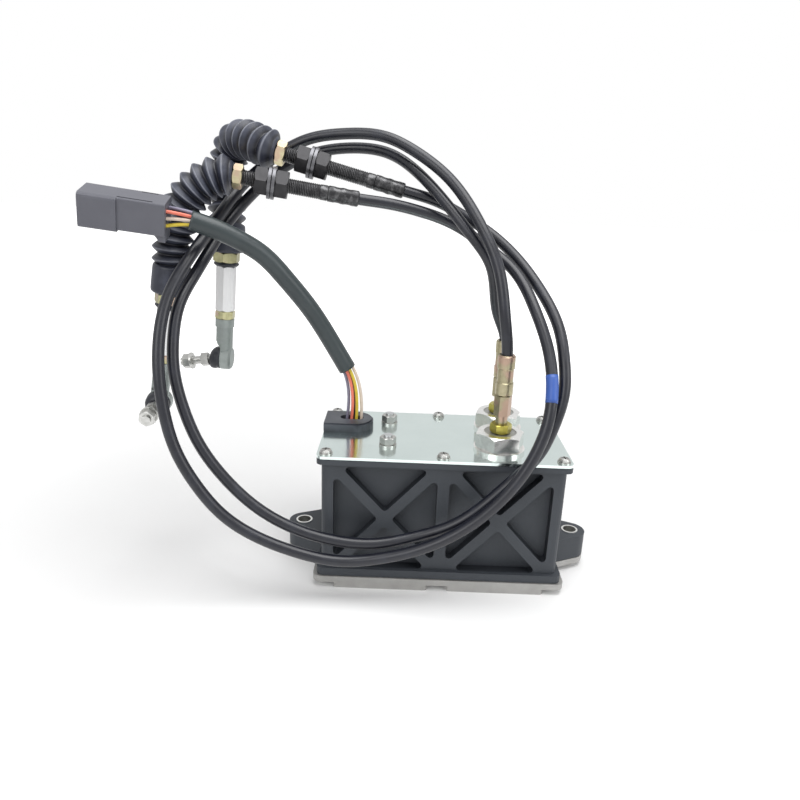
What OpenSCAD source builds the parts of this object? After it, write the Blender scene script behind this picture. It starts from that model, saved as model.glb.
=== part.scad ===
// Throttle motor: a flat gear-motor box that pulls and pushes two sheathed control
// cables, each ending in a bulkhead hub, a bellows boot and a ball-joint rod end.
// A five-wire harness leaves the box through a rubber grommet and ends in a plug.
// Millimetres. X runs along the box, Y away from its front face, Z up from its feet.

/* [Box] */
// Length of the top plate
plate_l = 170; // [166:1:176]
// Width of the top plate
plate_w = 92; // [90:1:96]
// Thickness of the top plate
plate_t = 2; // [1.5:0.5:3]
// Corner radius of the plate and the flanges
plate_r = 4.5; // [3:0.5:6]
// How far the plate and flanges stand past the walls
overhang = 3; // [2:0.5:4]
// Height of the casting
body_h = 86.5; // [84:0.5:92]
// Height of the casting's top lip
lip_h = 3.5; // [2.5:0.5:4.5]
// Height of the casting's bottom flange
flange_h = 5.5; // [4:0.5:7]
// Thickness of the end walls
end_wall = 5; // [4:0.5:6]
// Depth of the triangular pockets in the front and back faces
pocket_depth = 8; // [5:0.5:9]
// Wall left behind a pocket
pocket_web = 3; // [2:0.5:4]
// Width of the diagonal ribs between pockets
rib_w = 7; // [5:0.5:9]
// Width of the upright at each end of the face
side_frame = 8.3; // [7:0.1:10]
// Width of the upright between the two panels
mid_frame = 8; // [7:0.5:10]
// Rounding in the corners of a pocket
pocket_r = 2.5; // [1.5:0.5:3.5]
// Thickness of the top and bottom gaskets
gasket_t = 0.5; // [0.3:0.1:1]

/* [Bottom cover and ears] */
// Thickness of the bottom cover
cover_t = 4.5; // [4:0.5:8]
// How far the cover stands past the flange in length
cover_extra_l = 5; // [3:0.5:6]
// How far the cover stands past the flange in width
cover_extra_w = 2; // [1:0.5:4]
// Height of the feet under the cover
pad_h = 4; // [2.5:0.5:5]
// Width of the feet
pad_w = 11; // [8:1:14]
// Distance between the two mounting holes
ear_span = 199; // [197:1:205]
// Radius of an ear's tip
ear_r = 11; // [10:0.5:12]
// Thickness of a casting ear
ear_t = 17.5; // [12:0.5:20]
// Half width of an ear where it meets the wall
ear_root = 20; // [16:1:22]
// Mounting hole diameter
mount_d = 9.5; // [8.5:0.5:10]
// Wall of the steel bush in an ear
bush_wall = 1.25; // [1:0.25:2]

/* [Fasteners] */
// Thread diameter of the case screws
screw_d = 4; // [4:0.5:5]
// Head diameter of the case screws
screw_head_d = 7.6; // [7:0.2:8.4]
// Washer diameter under the case screw heads
screw_washer_d = 9; // [8.6:0.2:10]
// Reach of a case screw into the casting
screw_reach = 9; // [7:0.5:11]
// Distance of the case screws from the plate's edges
screw_edge = 6; // [5.5:0.5:6]
// Place of the middle screws along the box
screw_mid_x = -1; // [-1.5:0.5:1]
// Thread diameter of the hanger studs
stud_d = 6; // [5:0.5:6]
// Distance of the hanger studs from the grommet
stud_gap = 11.8; // [11:0.2:14]
// Distance of the hanger studs from the middle, across the box
stud_y = 22; // [20:0.5:23]
// Washer diameter on the hanger studs
stud_washer_d = 12; // [11:0.5:13]

/* [Cable glands] */
// Middle of the two glands along the box
gland_x = 40; // [38:0.5:42]
// How far each gland stands off to its own side of that
gland_skew = 2; // [0:0.5:2]
// Distance of the glands from the middle, across the box
gland_y = 21; // [20:0.5:22]
// Outer diameter of a gland washer
gland_washer_d = 35; // [32:0.5:36]
// Width across flats of a gland nut
gland_nut_af = 30; // [28:0.5:32]
// Height of a gland nut
gland_nut_h = 11; // [9:0.5:13]
// Thread diameter of a gland body
gland_d = 22; // [20:0.5:23]
// Thread diameter of a cable end
cable_thread_d = 8; // [7:0.5:8]
// Width across flats of a jam nut
jam_af = 13; // [12:0.5:14]
// Height of a jam nut
jam_h = 6; // [5:0.5:7]
// Outer diameter of a cable's conduit
conduit_d = 8; // [7.6:0.1:8]
// Outer diameter of the crimped ferrules
ferrule_d = 11.8; // [11:0.2:12.4]
// Diameter of the pushing core inside a cable end
core_d = 3; // [2.5:0.5:3]

/* [Gear train] */
// Height of the gear axes
axis_z = 50; // [49.5:0.5:50.5]
// Place of the output shaft along the box
output_x = 17; // [16.5:0.5:17]
// Module of the first gear pair
fast_module = 0.6; // [0.5:0.05:0.6]
// Module of the second gear pair
slow_module = 0.8; // [0.7:0.05:0.8]
// Module of the rack and its pinion
rack_module = 1; // [0.8:0.1:1]
// Diameter of the output shaft
output_shaft_d = 8; // [7:0.5:8]
// Outer diameter of the motor can
motor_d = 36; // [32:1:36]
// Gap between the motor's cap and the box's front wall
motor_gap = 4; // [3:0.5:10]
// Thickness of the frame's sheet steel
sheet_t = 2; // [1.5:0.5:2]
// Travel of the rack to either side of the middle
rack_travel = 15; // [10:1:15]

/* [Cable ends] */
// Thread diameter of a hub
hub_thread_d = 10; // [9:0.5:10]
// Width across flats of the hub nuts
hub_nut_af = 17; // [16:0.5:18]
// Thickness of a hub nut
hub_nut_h = 8.5; // [7:0.5:9]
// Outer diameter of the hub washers
hub_washer_d = 21; // [19:0.5:21]
// Outer diameter of a bellows boot
boot_d = 26.5; // [24:0.5:28]
// Distance between two folds of a bellows boot
fold_pitch = 7; // [6.5:0.5:9]
// Length of the plain cuff of a boot
cuff_l = 20; // [16:1:22]
// Width across flats of the adjuster
adjuster_af = 13; // [12:0.5:14]
// Length of the adjuster
adjuster_l = 33; // [28:1:38]
// Diameter of the rod inside the adjuster
rod_d = 6; // [5:0.5:6]
// Outer diameter of a ball-joint socket
socket_d = 17.5; // [17:0.5:19]
// Diameter of the ball
ball_d = 10; // [9:0.5:10]
// Droop of the first ball stud below square
stud_droop_a = 4; // [2:1:10]
// Droop of the second ball stud below square
stud_droop_b = 12; // [5:1:12]

/* [Harness] */
// Diameter of the harness sleeve
sleeve_d = 13; // [12:0.5:14]
// Diameter of one wire
wire_d = 2.2; // [1.8:0.1:2.4]
// Length of the connector shell
connector_l = 50; // [46:1:54]
// Length of the hood round the connector's mouth
connector_hood = 22; // [19:1:24]
// Width of the connector's hood
connector_w = 24; // [22:1:26]
// Height of the connector's hood
connector_h = 21.5; // [20:0.5:23]

/* [Hidden] */

$fn = 48;
run_fit = 0.05;   // radial clearance of a turning or sliding fit
thread_fit = 0.05; // radial gap drawn between a plain-drawn thread and its nut
seat_gap = 0.3;   // clearance between pieces that move past one another
pass_gap = 0.4;   // radial clearance of a screw or tube in a through hole

// Heights of the layers, from the feet up
cover_z = pad_h;
cover_top = cover_z + cover_t;
body_z = cover_top + gasket_t;
body_top = body_z + body_h;
plate_z = body_top + gasket_t;
plate_top = plate_z + plate_t;

wall_l = plate_l - 2 * overhang;
wall_w = plate_w - 2 * overhang;
cavity_l = wall_l - 2 * end_wall;
cavity_w = wall_w - 2 * (pocket_depth + pocket_web);
cover_l = plate_l + cover_extra_l;
cover_w = plate_w + cover_extra_w;

// The two ribbed panels of each long face
panel_w = (wall_l - 2 * side_frame - mid_frame) / 2;
panel_x = (mid_frame + panel_w) / 2;
panel_low = body_z + flange_h;
panel_high = body_top - lip_h - 2;
panel_h = panel_high - panel_low;
panel_z = (panel_low + panel_high) / 2;

screw_x = plate_l / 2 - screw_edge;
screw_y = plate_w / 2 - screw_edge;
screw_places = [for (x = [-screw_x, screw_mid_x, screw_x], y = [-screw_y, screw_y]) [x, y]];
mid_pad_gap = screw_head_d + 6;
gland_places = [[gland_x - gland_skew, -gland_y], [gland_x + gland_skew, gland_y]];
hanger_washer_t = 1.5;
hanger_nut_af = 10;
hanger_nut_h = 5;
stud_end = 1.5; // how far a hanger stud stands out of its nut

// Rounds the corners of a polygon; each corner gets an arc of radius r in n steps
function unit(v) = v / norm(v);
function corner(a, p, b, r, n) =
    let (u = unit(a - p), v = unit(b - p), half = acos(u * v) / 2)
    let (c = p + unit(u + v) * r / sin(half))
    let (t1 = p + u * r / tan(half), t2 = p + v * r / tan(half))
    let (a1 = atan2(t1.y - c.y, t1.x - c.x), a2 = atan2(t2.y - c.y, t2.x - c.x))
    let (turn = (a2 - a1 + 540) % 360 - 180)
    [for (i = [0:n]) c + r * [cos(a1 + turn * i / n), sin(a1 + turn * i / n)]];
function rounded(pts, r, n = 3) =
    let (k = len(pts))
    [for (i = [0:k - 1]) each corner(pts[(i + k - 1) % k], pts[i], pts[(i + 1) % k], r, n)];
function rect(l, w) = [[-l / 2, -w / 2], [l / 2, -w / 2], [l / 2, w / 2], [-l / 2, w / 2]];

module slab(l, w, h, r) {
    linear_extrude(h) polygon(rounded(rect(l, w), r, 4));
}
module hex(af, h) {
    cylinder(d = af / cos(30), h = h, $fn = 6);
}
module hex_nut(af, h, bore_d) {
    // A nut with its corners turned off at both ends
    difference() {
        intersection() {
            hex(af, h);
            rotate_extrude()
                polygon([[0, 0], [af / 2, 0], [af / 2 / cos(30), h / 8],
                    [af / 2 / cos(30), h * 7 / 8], [af / 2, h], [0, h]]);
        }
        translate([0, 0, -1]) cylinder(d = bore_d + 2 * thread_fit, h = h + 2);
    }
}
module ring(outer_d, bore_d, h) {
    difference() {
        cylinder(d = outer_d, h = h);
        translate([0, 0, -1]) cylinder(d = bore_d, h = h + 2);
    }
}

// A mounting ear's outline: straight sides from the wall to a round tip
module ear_outline(tip_r, root) {
    x0 = wall_l / 2;
    reach = ear_span / 2 - x0;
    to_centre = atan2(-root, reach);
    swing = 90 + to_centre + asin(tip_r / norm([reach, root]));
    polygon(concat([[x0 - end_wall, root], [x0, root]],
        [for (i = [12:-1:-12]) [ear_span / 2 + tip_r * cos(swing * i / 12), tip_r * sin(swing * i / 12)]],
        [[x0, -root], [x0 - end_wall, -root]]));
}
module both_ears() {
    for (side = [0, 1]) mirror([side, 0, 0]) children();
}

// Box
module panel_pockets() {
    // Four triangles between the two diagonal ribs, cut inward from y = 0
    slope = atan2(panel_h, panel_w);
    up = rib_w / 2 / cos(slope);
    across = rib_w / 2 / sin(slope);
    top = [[0, up], [panel_w / 2 - across, panel_h / 2], [across - panel_w / 2, panel_h / 2]];
    side = [[across, 0], [panel_w / 2, up - panel_h / 2], [panel_w / 2, panel_h / 2 - up]];
    rotate([90, 0, 0]) translate([0, 0, -pocket_depth]) linear_extrude(pocket_depth + 1) {
        polygon(rounded(top, pocket_r));
        polygon(rounded(-top, pocket_r));
        polygon(rounded(side, pocket_r));
        polygon(rounded(-side, pocket_r));
    }
}
module housing() {
    bush_d = mount_d + 2 * bush_wall;
    color([0.25, 0.28, 0.30]) difference() {
        union() {
            translate([0, 0, body_z]) slab(wall_l, wall_w, body_h, plate_r);
            translate([0, 0, body_z]) slab(plate_l, plate_w, flange_h, plate_r);
            translate([0, 0, body_top - lip_h]) slab(plate_l, plate_w, lip_h, plate_r);
            translate([0, 0, body_z]) linear_extrude(ear_t) {
                both_ears() ear_outline(ear_r, ear_root);
            }
        }
        translate([0, 0, body_z - 1]) slab(cavity_l, cavity_w, body_h + 2, 4);
        for (x = [-panel_x, panel_x], turn = [0, 180]) {
            rotate([0, 0, turn]) translate([x, -wall_w / 2, panel_z]) panel_pockets();
        }
        for (p = gland_places) {
            translate([p.x, p.y, plate_z - gland_flange_t - 1])
                cylinder(d = gland_flange_d + 1, h = gland_flange_t + 2);
        }
        for (p = screw_places) {
            translate([p.x, p.y, body_top - screw_reach - 1])
                cylinder(d = screw_d + 2 * thread_fit, h = screw_reach + 2);
            translate([p.x, p.y, body_z - 1])
                cylinder(d = screw_d + 2 * thread_fit, h = screw_reach + 2);
        }
        both_ears() translate([ear_span / 2, 0, body_z - 1]) cylinder(d = bush_d, h = ear_t + 2);
    }
}
module ear_bushes() {
    color("silver") both_ears() translate([ear_span / 2, 0, body_z])
        ring(mount_d + 2 * bush_wall, mount_d, ear_t + 0.5);
}
module gasket(z) {
    translate([0, 0, z]) difference() {
        slab(plate_l - 1, plate_w - 1, gasket_t, plate_r);
        translate([0, 0, -1]) slab(cavity_l, cavity_w, gasket_t + 2, 4);
        for (p = screw_places) {
            translate([p.x, p.y, -1]) cylinder(d = screw_d + 2 * pass_gap, h = gasket_t + 2);
        }
        for (p = gland_places) {
            translate([p.x, p.y, -1]) cylinder(d = gland_flange_d + 1, h = gasket_t + 2);
        }
    }
}
module gaskets() {
    color("dimgray") {
        gasket(body_top);
        gasket(cover_top);
    }
}
module top_plate() {
    color([0.80, 0.86, 0.85]) difference() {
        translate([0, 0, plate_z]) slab(plate_l, plate_w, plate_t, plate_r);
        for (p = screw_places) {
            translate([p.x, p.y, plate_z - 1]) cylinder(d = screw_d + 2 * pass_gap, h = plate_t + 2);
        }
        for (side = [-1, 1]) {
            translate([stud_x, side * stud_y, plate_z - 1])
                cylinder(d = stud_d + 2 * pass_gap, h = plate_t + 2);
        }
        for (p = gland_places) {
            translate([p.x, p.y, plate_z - 1]) cylinder(d = gland_d + 2 * pass_gap, h = plate_t + 2);
        }
        translate([grommet_x, grommet_y, plate_z - 1]) slab(neck_l, neck_w, plate_t + 2, neck_w / 2.1);
    }
}
// A pan-head screw with a captive washer and a cross recess; its seat is at z = 0
module case_screw(shank, washer_t) {
    head_h = 2.4;
    difference() {
        union() {
            translate([0, 0, -shank]) cylinder(d = screw_d, h = shank + washer_t + 0.1);
            if (washer_t > 0) cylinder(d = screw_washer_d, h = washer_t);
            translate([0, 0, washer_t]) rotate_extrude()
                polygon([[0, 0], [screw_head_d / 2, 0], [screw_head_d / 2, head_h * 0.5],
                    [screw_head_d * 0.42, head_h * 0.85], [screw_head_d * 0.3, head_h], [0, head_h]]);
        }
        for (turn = [0, 90]) {
            rotate([0, 0, turn]) translate([-screw_head_d * 0.3, -0.5, washer_t + head_h - 1.4])
                cube([screw_head_d * 0.6, 1, 2]);
        }
    }
}
module top_screws() {
    color("lightgray") for (p = screw_places) {
        translate([p.x, p.y, plate_top]) case_screw(plate_t + gasket_t + screw_reach, 0.8);
    }
}
module bottom_cover() {
    color([0.70, 0.70, 0.67]) difference() {
        union() {
            translate([0, 0, cover_z]) slab(cover_l, cover_w, cover_t, plate_r + 1);
            translate([0, 0, cover_z]) linear_extrude(cover_t) {
                both_ears() ear_outline(ear_r, ear_root);
            }
            for (side = [-1, 1]) {
                foot(-screw_x + screw_washer_d / 2 + 1.5, screw_mid_x - mid_pad_gap / 2, side);
                foot(screw_mid_x + mid_pad_gap / 2, screw_x - screw_washer_d / 2 - 1.5, side);
            }
        }
        for (p = screw_places) {
            translate([p.x, p.y, cover_z - 1]) cylinder(d = screw_d + 2 * pass_gap, h = cover_t + 2);
        }
        both_ears() translate([ear_span / 2, 0, cover_z - 1]) cylinder(d = mount_d + 0.6, h = cover_t + 2);
    }
}
module foot(x0, x1, side) {
    translate([(x0 + x1) / 2, side * (cover_w - pad_w) / 2, 0]) slab(x1 - x0, pad_w, pad_h + 1, 2);
}
module cover_screws() {
    color("silver") for (p = screw_places) {
        translate([p.x, p.y, cover_z]) mirror([0, 0, 1])
            case_screw(cover_t + gasket_t + screw_reach, 0);
    }
}

module at_studs() {
    for (side = [-1, 1]) translate([stud_x, side * stud_y, plate_top]) children();
}
module hanger_washers() {
    color("silver") at_studs() ring(stud_washer_d, stud_d + 0.4, hanger_washer_t);
}
module hanger_nuts() {
    color([0.85, 0.85, 0.82]) at_studs() translate([0, 0, hanger_washer_t])
        rotate([0, 0, 10]) hex_nut(hanger_nut_af, hanger_nut_h, stud_d);
}

// Rubber grommet that the wires leave through
grommet_inset = 19; // from the plate's end to the middle of the slot
grommet_x = grommet_inset - plate_l / 2;
grommet_y = 15;
grommet_l = 35;
grommet_w = 28.5;
grommet_h = 6;
neck_l = 20.5;
neck_w = 12;
slot_l = 17;
slot_w = 8.5;
stud_x = grommet_l - 0.3 - plate_l / 2 + stud_gap;
module grommet_outline(l, w) {
    // Square at the plate's end, half round towards the middle
    left = -plate_l / 2 - 0.3;
    steps = 12;
    polygon(concat([[left, -w / 2], [left + l - w / 2, -w / 2]],
        [for (i = [1:steps - 1]) let (a = 180 * i / steps)
            [left + l - w / 2 + w / 2 * sin(a), -w / 2 * cos(a)]],
        [[left + l - w / 2, w / 2], [left, w / 2]]));
}
module wire_grommet() {
    color([0.12, 0.12, 0.13]) difference() {
        union() {
            translate([0, grommet_y - 0.75, plate_top]) linear_extrude(grommet_h - 1)
                grommet_outline(grommet_l, grommet_w);
            translate([0, grommet_y - 0.75, plate_top]) linear_extrude(grommet_h)
                grommet_outline(grommet_l - 1, grommet_w - 2);
            translate([grommet_x, grommet_y, plate_z - 1])
                slab(neck_l - 0.2, neck_w - 0.2, plate_t + 2, neck_w / 2.2);
            translate([grommet_x, grommet_y, plate_z - 3]) slab(neck_l + 1, neck_w + 3, 3, neck_w / 2.2);
        }
        translate([grommet_x, grommet_y, plate_z - 4])
            slab(slot_l, slot_w, plate_t + grommet_h + 6, slot_w / 2.1);
    }
}

// Gear train: involute teeth, so that every pair rolls as the real one does
pressure = 20;
backlash = 0.1;
addendum = 0.9;
dedendum = 1.2;
function inv(a) = tan(a) * 180 / PI - a;
function gear_points(m, z) =
    let (rp = m * z / 2, rb = rp * cos(pressure), rt = rp + addendum * m, rr = rp - dedendum * m)
    let (half = 90 / z - backlash / rp * 180 / PI / 2 + inv(pressure))
    let (radii = [for (k = [0:2]) max(rb, rr) + (rt - max(rb, rr)) * k / 2])
    [for (i = [0:z - 1]) let (mid = 360 / z * i)
        each concat(
            [rr * [cos(mid - half), sin(mid - half)]],
            [for (r = radii) let (a = mid - half + inv(acos(min(1, rb / r)))) r * [cos(a), sin(a)]],
            [for (k = [2:-1:0]) let (a = mid + half - inv(acos(min(1, rb / radii[k]))))
                radii[k] * [cos(a), sin(a)]],
            [rr * [cos(mid + half), sin(mid + half)]])];
// A gear about the Y axis, its first tooth on +X turned by phase
module gear(m, z, w, phase) {
    rotate([-90, 0, 0]) rotate([0, 0, phase]) linear_extrude(w) polygon(gear_points(m, z));
}
motor_teeth = 14;
idler_teeth = 56;
idler_small = 15;
output_teeth = 40;
rack_teeth_on = 20;
idler_x = output_x - slow_module * (output_teeth + idler_small) / 2;
motor_x = idler_x - fast_module * (idler_teeth + motor_teeth) / 2;
rack_x = output_x + rack_module * rack_teeth_on / 2;

frame_y = 10;
gear_space = 12;
fast_w = 4;
slow_w = 5;
slow_y = frame_y + sheet_t + 1;
fast_y = slow_y + slow_w + 0.5;
side_y = frame_y + sheet_t + gear_space;
bracket_y = -frame_y - sheet_t;
guide_gap = 23;    // from the rack's pitch line to the guide rods
flange_left = 17;  // how far the guide flanges reach to the left of the rack
flange_right = 7;  // and to the right of the guide rods
guide_x = rack_x + guide_gap;
guide_y = 8;
guide_d = 5;
guide_low = body_z + 1.5;
guide_high = plate_z - 8;
hanger_z = plate_z - sheet_t;
frame_left = stud_x - 8;
hanger_l = 30;
hanger_w = cavity_w - 6;
rivet_d = 3.9;
idler_pin_d = 4;
motor_shaft_d = 3;
motor_boss_d = 10;
can_wall = 1.5;
cap_t = 2;
cap_plug = 3;
winding_gap = 6; // from the winding to the can, and to the cap's face

// Places of the riveted pillars, along the box and up, and the sheet left round them
side_pillar_x = 9;
side_pillar_z = 26;
bracket_pillar_x = [-12, 3];
bracket_pillar_z = 17;
pillar_d = 6;
side_edge = 5;
bracket_edge = 4;
side_pillars = [for (x = [stud_x, output_x + side_pillar_x], z = [-1, 1]) [x, axis_z + z * side_pillar_z]];
bracket_pillars = [for (x = bracket_pillar_x, z = [-1, 1]) [output_x + x, axis_z + z * bracket_pillar_z]];

module on_axis(x, y0) {
    translate([x, y0, axis_z]) rotate([-90, 0, 0]) children();
}
module gear_frame() {
    // One pressed plate with two flanges for the guide rods and a hanger with two studs
    right = rack_x + rack_back;
    color([0.62, 0.63, 0.65]) difference() {
        union() {
            translate([frame_left, frame_y, guide_low])
                cube([right - frame_left, sheet_t, guide_high + sheet_t - guide_low]);
            translate([frame_left, frame_y, guide_low])
                cube([hanger_l, sheet_t, hanger_z - guide_low + 0.01]);
            for (z = [guide_low, guide_high]) {
                translate([rack_x - flange_left, -frame_y - sheet_t, z])
                    cube([flange_left + guide_gap + flange_right, 2 * (frame_y + sheet_t), sheet_t]);
            }
            translate([frame_left, -hanger_w / 2, hanger_z]) cube([hanger_l, hanger_w, sheet_t]);
            for (side = [-1, 1]) {
                translate([stud_x, side * stud_y, hanger_z])
                    cylinder(d = stud_d, h = sheet_t + plate_t + hanger_washer_t + hanger_nut_h + stud_end);
            }
        }
        on_axis(motor_x, frame_y - 1) cylinder(d = motor_boss_d + 2 * run_fit, h = sheet_t + 2);
        on_axis(idler_x, frame_y - 1) cylinder(d = idler_pin_d + 2 * run_fit, h = sheet_t + 2);
        on_axis(output_x, frame_y - 1) cylinder(d = output_shaft_d + 2 * run_fit, h = sheet_t + 2);
        for (y = [-guide_y, guide_y], z = [guide_low, guide_high]) {
            translate([guide_x, y, z - 1]) cylinder(d = guide_d + 2 * run_fit, h = sheet_t + 2);
        }
        for (p = concat(side_pillars, bracket_pillars)) {
            translate([p.x, frame_y - 1, p.y]) rotate([-90, 0, 0])
                cylinder(d = rivet_d + 0.1, h = sheet_t + 2);
        }
    }
}
module pillar(p, y0, l) {
    // A shouldered pillar whose ends are riveted through the two plates
    translate([p.x, y0, p.y]) rotate([-90, 0, 0]) {
        cylinder(d = pillar_d, h = l);
        translate([0, 0, -sheet_t]) cylinder(d = rivet_d, h = l + 2 * sheet_t);
    }
}
module gear_side_plate() {
    low = side_pillars[0];
    high = side_pillars[3];
    color([0.62, 0.63, 0.65]) {
        difference() {
            union() {
                translate([frame_left, side_y, low.y - side_edge])
                    cube([high.x - frame_left + side_edge, sheet_t, high.y - low.y + 2 * side_edge]);
                translate([frame_left, side_y, low.y]) cube([hanger_l, sheet_t, hanger_z - low.y]);
            }
            on_axis(output_x, side_y - 1) cylinder(d = output_shaft_d + 2 * run_fit, h = sheet_t + 2);
        }
        for (p = side_pillars) pillar(p, frame_y + sheet_t, gear_space);
        on_axis(idler_x, frame_y) cylinder(d = idler_pin_d, h = gear_space + 2 * sheet_t);
    }
}
module bearing_bracket() {
    low = bracket_pillars[0];
    high = bracket_pillars[3];
    color([0.62, 0.63, 0.65]) {
        difference() {
            translate([low.x - bracket_edge, bracket_y, low.y - bracket_edge])
                cube([high.x - low.x + 2 * bracket_edge, sheet_t, high.y - low.y + 2 * bracket_edge]);
            on_axis(output_x, bracket_y - 1) cylinder(d = output_shaft_d + 2 * run_fit, h = sheet_t + 2);
        }
        for (p = bracket_pillars) pillar(p, bracket_y + sheet_t, frame_y - bracket_y - sheet_t);
    }
}
module guide_rods() {
    color("silver") for (y = [-guide_y, guide_y]) {
        translate([guide_x, y, guide_low]) cylinder(d = guide_d, h = guide_high + sheet_t - guide_low);
    }
}
motor_l = cavity_w / 2 + frame_y - cap_t - motor_gap;
motor_y = frame_y - motor_l;
module motor_can() {
    color([0.70, 0.71, 0.72]) on_axis(motor_x, motor_y) difference() {
        cylinder(d = motor_d, h = motor_l);
        translate([0, 0, -1]) cylinder(d = motor_d - 2 * can_wall, h = motor_l + 1 - can_wall);
        cylinder(d = motor_shaft_d + 2 * run_fit, h = motor_l + 1);
    }
}
module motor_cap() {
    color([0.15, 0.15, 0.16]) on_axis(motor_x, motor_y - cap_t) difference() {
        union() {
            cylinder(d = motor_d, h = cap_t);
            cylinder(d = motor_d - 2 * can_wall - 0.2, h = cap_t + cap_plug);
        }
        translate([0, 0, -1]) cylinder(d = motor_shaft_d + 2 * run_fit, h = cap_t + cap_plug + 3);
    }
}
module motor_rotor() {
    color([0.72, 0.45, 0.25]) on_axis(motor_x, motor_y - cap_t) {
        cylinder(d = motor_shaft_d, h = fast_y + fast_w - motor_y + cap_t);
        translate([0, 0, winding_gap]) cylinder(d = motor_d - 2 * winding_gap,
            h = motor_l + cap_t - 2 * winding_gap + 1);
    }
    color("goldenrod") translate([motor_x, fast_y, axis_z]) gear(fast_module, motor_teeth, fast_w, 0);
}
module idler_gear() {
    color([0.9, 0.88, 0.8]) translate([idler_x, 0, axis_z]) difference() {
        union() {
            translate([0, fast_y, 0]) gear(fast_module, idler_teeth, fast_w, 180 + 180 / idler_teeth);
            translate([0, slow_y, 0]) gear(slow_module, idler_small, fast_y - slow_y + 0.1, 0);
        }
        rotate([-90, 0, 0]) cylinder(d = idler_pin_d + 2 * run_fit, h = side_y);
    }
}
lightening_d = 6;
lightening_at = (slow_module * output_teeth + output_shaft_d) / 4 - 0.5;
module output_gear() {
    color([0.8, 0.8, 0.78]) translate([output_x, 0, axis_z]) difference() {
        translate([0, slow_y, 0]) gear(slow_module, output_teeth, slow_w, 180 + 180 / output_teeth);
        rotate([-90, 0, 0]) cylinder(d = output_shaft_d, h = side_y);
        for (a = [0:60:300]) {
            rotate([0, a, 0]) translate([lightening_at, 0, 0]) rotate([-90, 0, 0])
                cylinder(d = lightening_d, h = side_y);
        }
    }
}
module output_shaft() {
    sensor_end = bracket_y - sensor_t + 2;
    color("silver") {
        on_axis(output_x, sensor_end) cylinder(d = output_shaft_d, h = side_y + sheet_t - sensor_end);
        translate([output_x, -rack_w / 2 - 0.5, axis_z]) gear(rack_module, rack_teeth_on, rack_w + 1, 0);
    }
}
rack_w = 8;
rack_back = 6;  // from the pitch line to the back of the toothed bar
arm_at = 8;     // from the pitch line to the crosshead's arms
guide_land = 5; // metal round a guide rod
rack_l = 2 * rack_travel + 12;
arm_h = 12;
arm_y = gland_y + 5;
module rack() {
    // Teeth face the pinion; a space stands opposite its first tooth
    pitch = PI * rack_module;
    each_side = floor(rack_l / 2 / pitch);
    half = pitch / 4 - backlash / 2;
    tip = addendum * rack_module;
    root = dedendum * rack_module;
    lean = tan(pressure);
    color([0.55, 0.56, 0.58]) translate([rack_x, 0, axis_z]) difference() {
        union() {
            rotate([90, 0, 0]) translate([0, 0, -rack_w / 2]) linear_extrude(rack_w)
                polygon(concat([[rack_back, -rack_l / 2], [rack_back, rack_l / 2], [root, rack_l / 2]],
                    [for (i = [each_side - 1:-1:-each_side]) let (z = (i + 0.5) * pitch)
                        each [[root, z + half + root * lean], [-tip, z + half - tip * lean],
                            [-tip, z - half + tip * lean], [root, z - half - root * lean]]],
                    [[root, -rack_l / 2]]));
            translate([arm_at, -arm_y, -arm_h / 2])
                cube([gland_x + gland_skew - rack_x + guide_land - arm_at, 2 * arm_y, arm_h]);
            translate([rack_back - 1, -rack_w / 2, -arm_h / 2]) cube([arm_at - rack_back + 2, rack_w, arm_h]);
            translate([arm_at, -guide_y - guide_land, -arm_h / 2 - 2])
                cube([guide_gap + guide_land + 1 - arm_at, 2 * (guide_y + guide_land), arm_h + 4]);
        }
        for (y = [-guide_y, guide_y]) {
            translate([guide_x - rack_x, y, -rack_l]) cylinder(d = guide_d + 2 * run_fit, h = 2 * rack_l);
        }
        for (p = gland_places) {
            translate([p.x - rack_x, p.y, -rack_l]) cylinder(d = core_d, h = 2 * rack_l);
        }
    }
}
core_top = plate_top + 14;
module core_rods() {
    color("silver") for (p = gland_places) {
        translate([p.x, p.y, axis_z - arm_h / 2]) cylinder(d = core_d, h = core_top - axis_z + arm_h / 2);
        translate([p.x, p.y, axis_z - arm_h / 2 - 4]) cylinder(d = core_d + 3, h = 4);
    }
}
sensor_d = 24;
sensor_t = 10;
sensor_plug = [20, 10, 7];
module position_sensor() {
    // A rotary sensor round the output shaft's front end, with a plug seat above it
    color([0.13, 0.14, 0.15]) on_axis(output_x, bracket_y - sensor_t) difference() {
        union() {
            cylinder(d = sensor_d, h = sensor_t);
            translate([-sensor_plug.x / 2, -sensor_d / 2 - 5, 2]) cube(sensor_plug);
        }
        translate([0, 0, 2 - seat_gap]) cylinder(d = output_shaft_d + 2 * run_fit, h = sensor_t);
    }
}

// Glands and cable ends on the top plate
gland_flange_d = 28;
gland_flange_t = 4;
gland_washer_t = 2;
gland_top = plate_top + gland_washer_t + gland_nut_h;
thread_top = gland_top + 12;
sleeve_af = 10;
sleeve_l = 14;
ferrule_l = 28;
ferrule_z = thread_top + sleeve_l;
ferrule_top = ferrule_z + ferrule_l;
socket_depth = 12;
core_bore = core_d + 0.4;
module at_glands() {
    for (p = gland_places) translate([p.x, p.y, 0]) children();
}
module gland_bodies() {
    color([0.60, 0.61, 0.60]) at_glands() difference() {
        union() {
            translate([0, 0, plate_z - gland_flange_t]) cylinder(d = gland_flange_d, h = gland_flange_t);
            translate([0, 0, plate_z - gland_flange_t])
                cylinder(d = gland_d, h = gland_top - 0.6 - plate_z + gland_flange_t);
        }
        translate([0, 0, plate_z - gland_flange_t - 1])
            cylinder(d = cable_thread_d + 2 * thread_fit, h = 30);
    }
}
module gland_washers() {
    color("silver") at_glands() translate([0, 0, plate_top])
        ring(gland_washer_d, gland_d + 2 * pass_gap, gland_washer_t);
}
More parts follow.
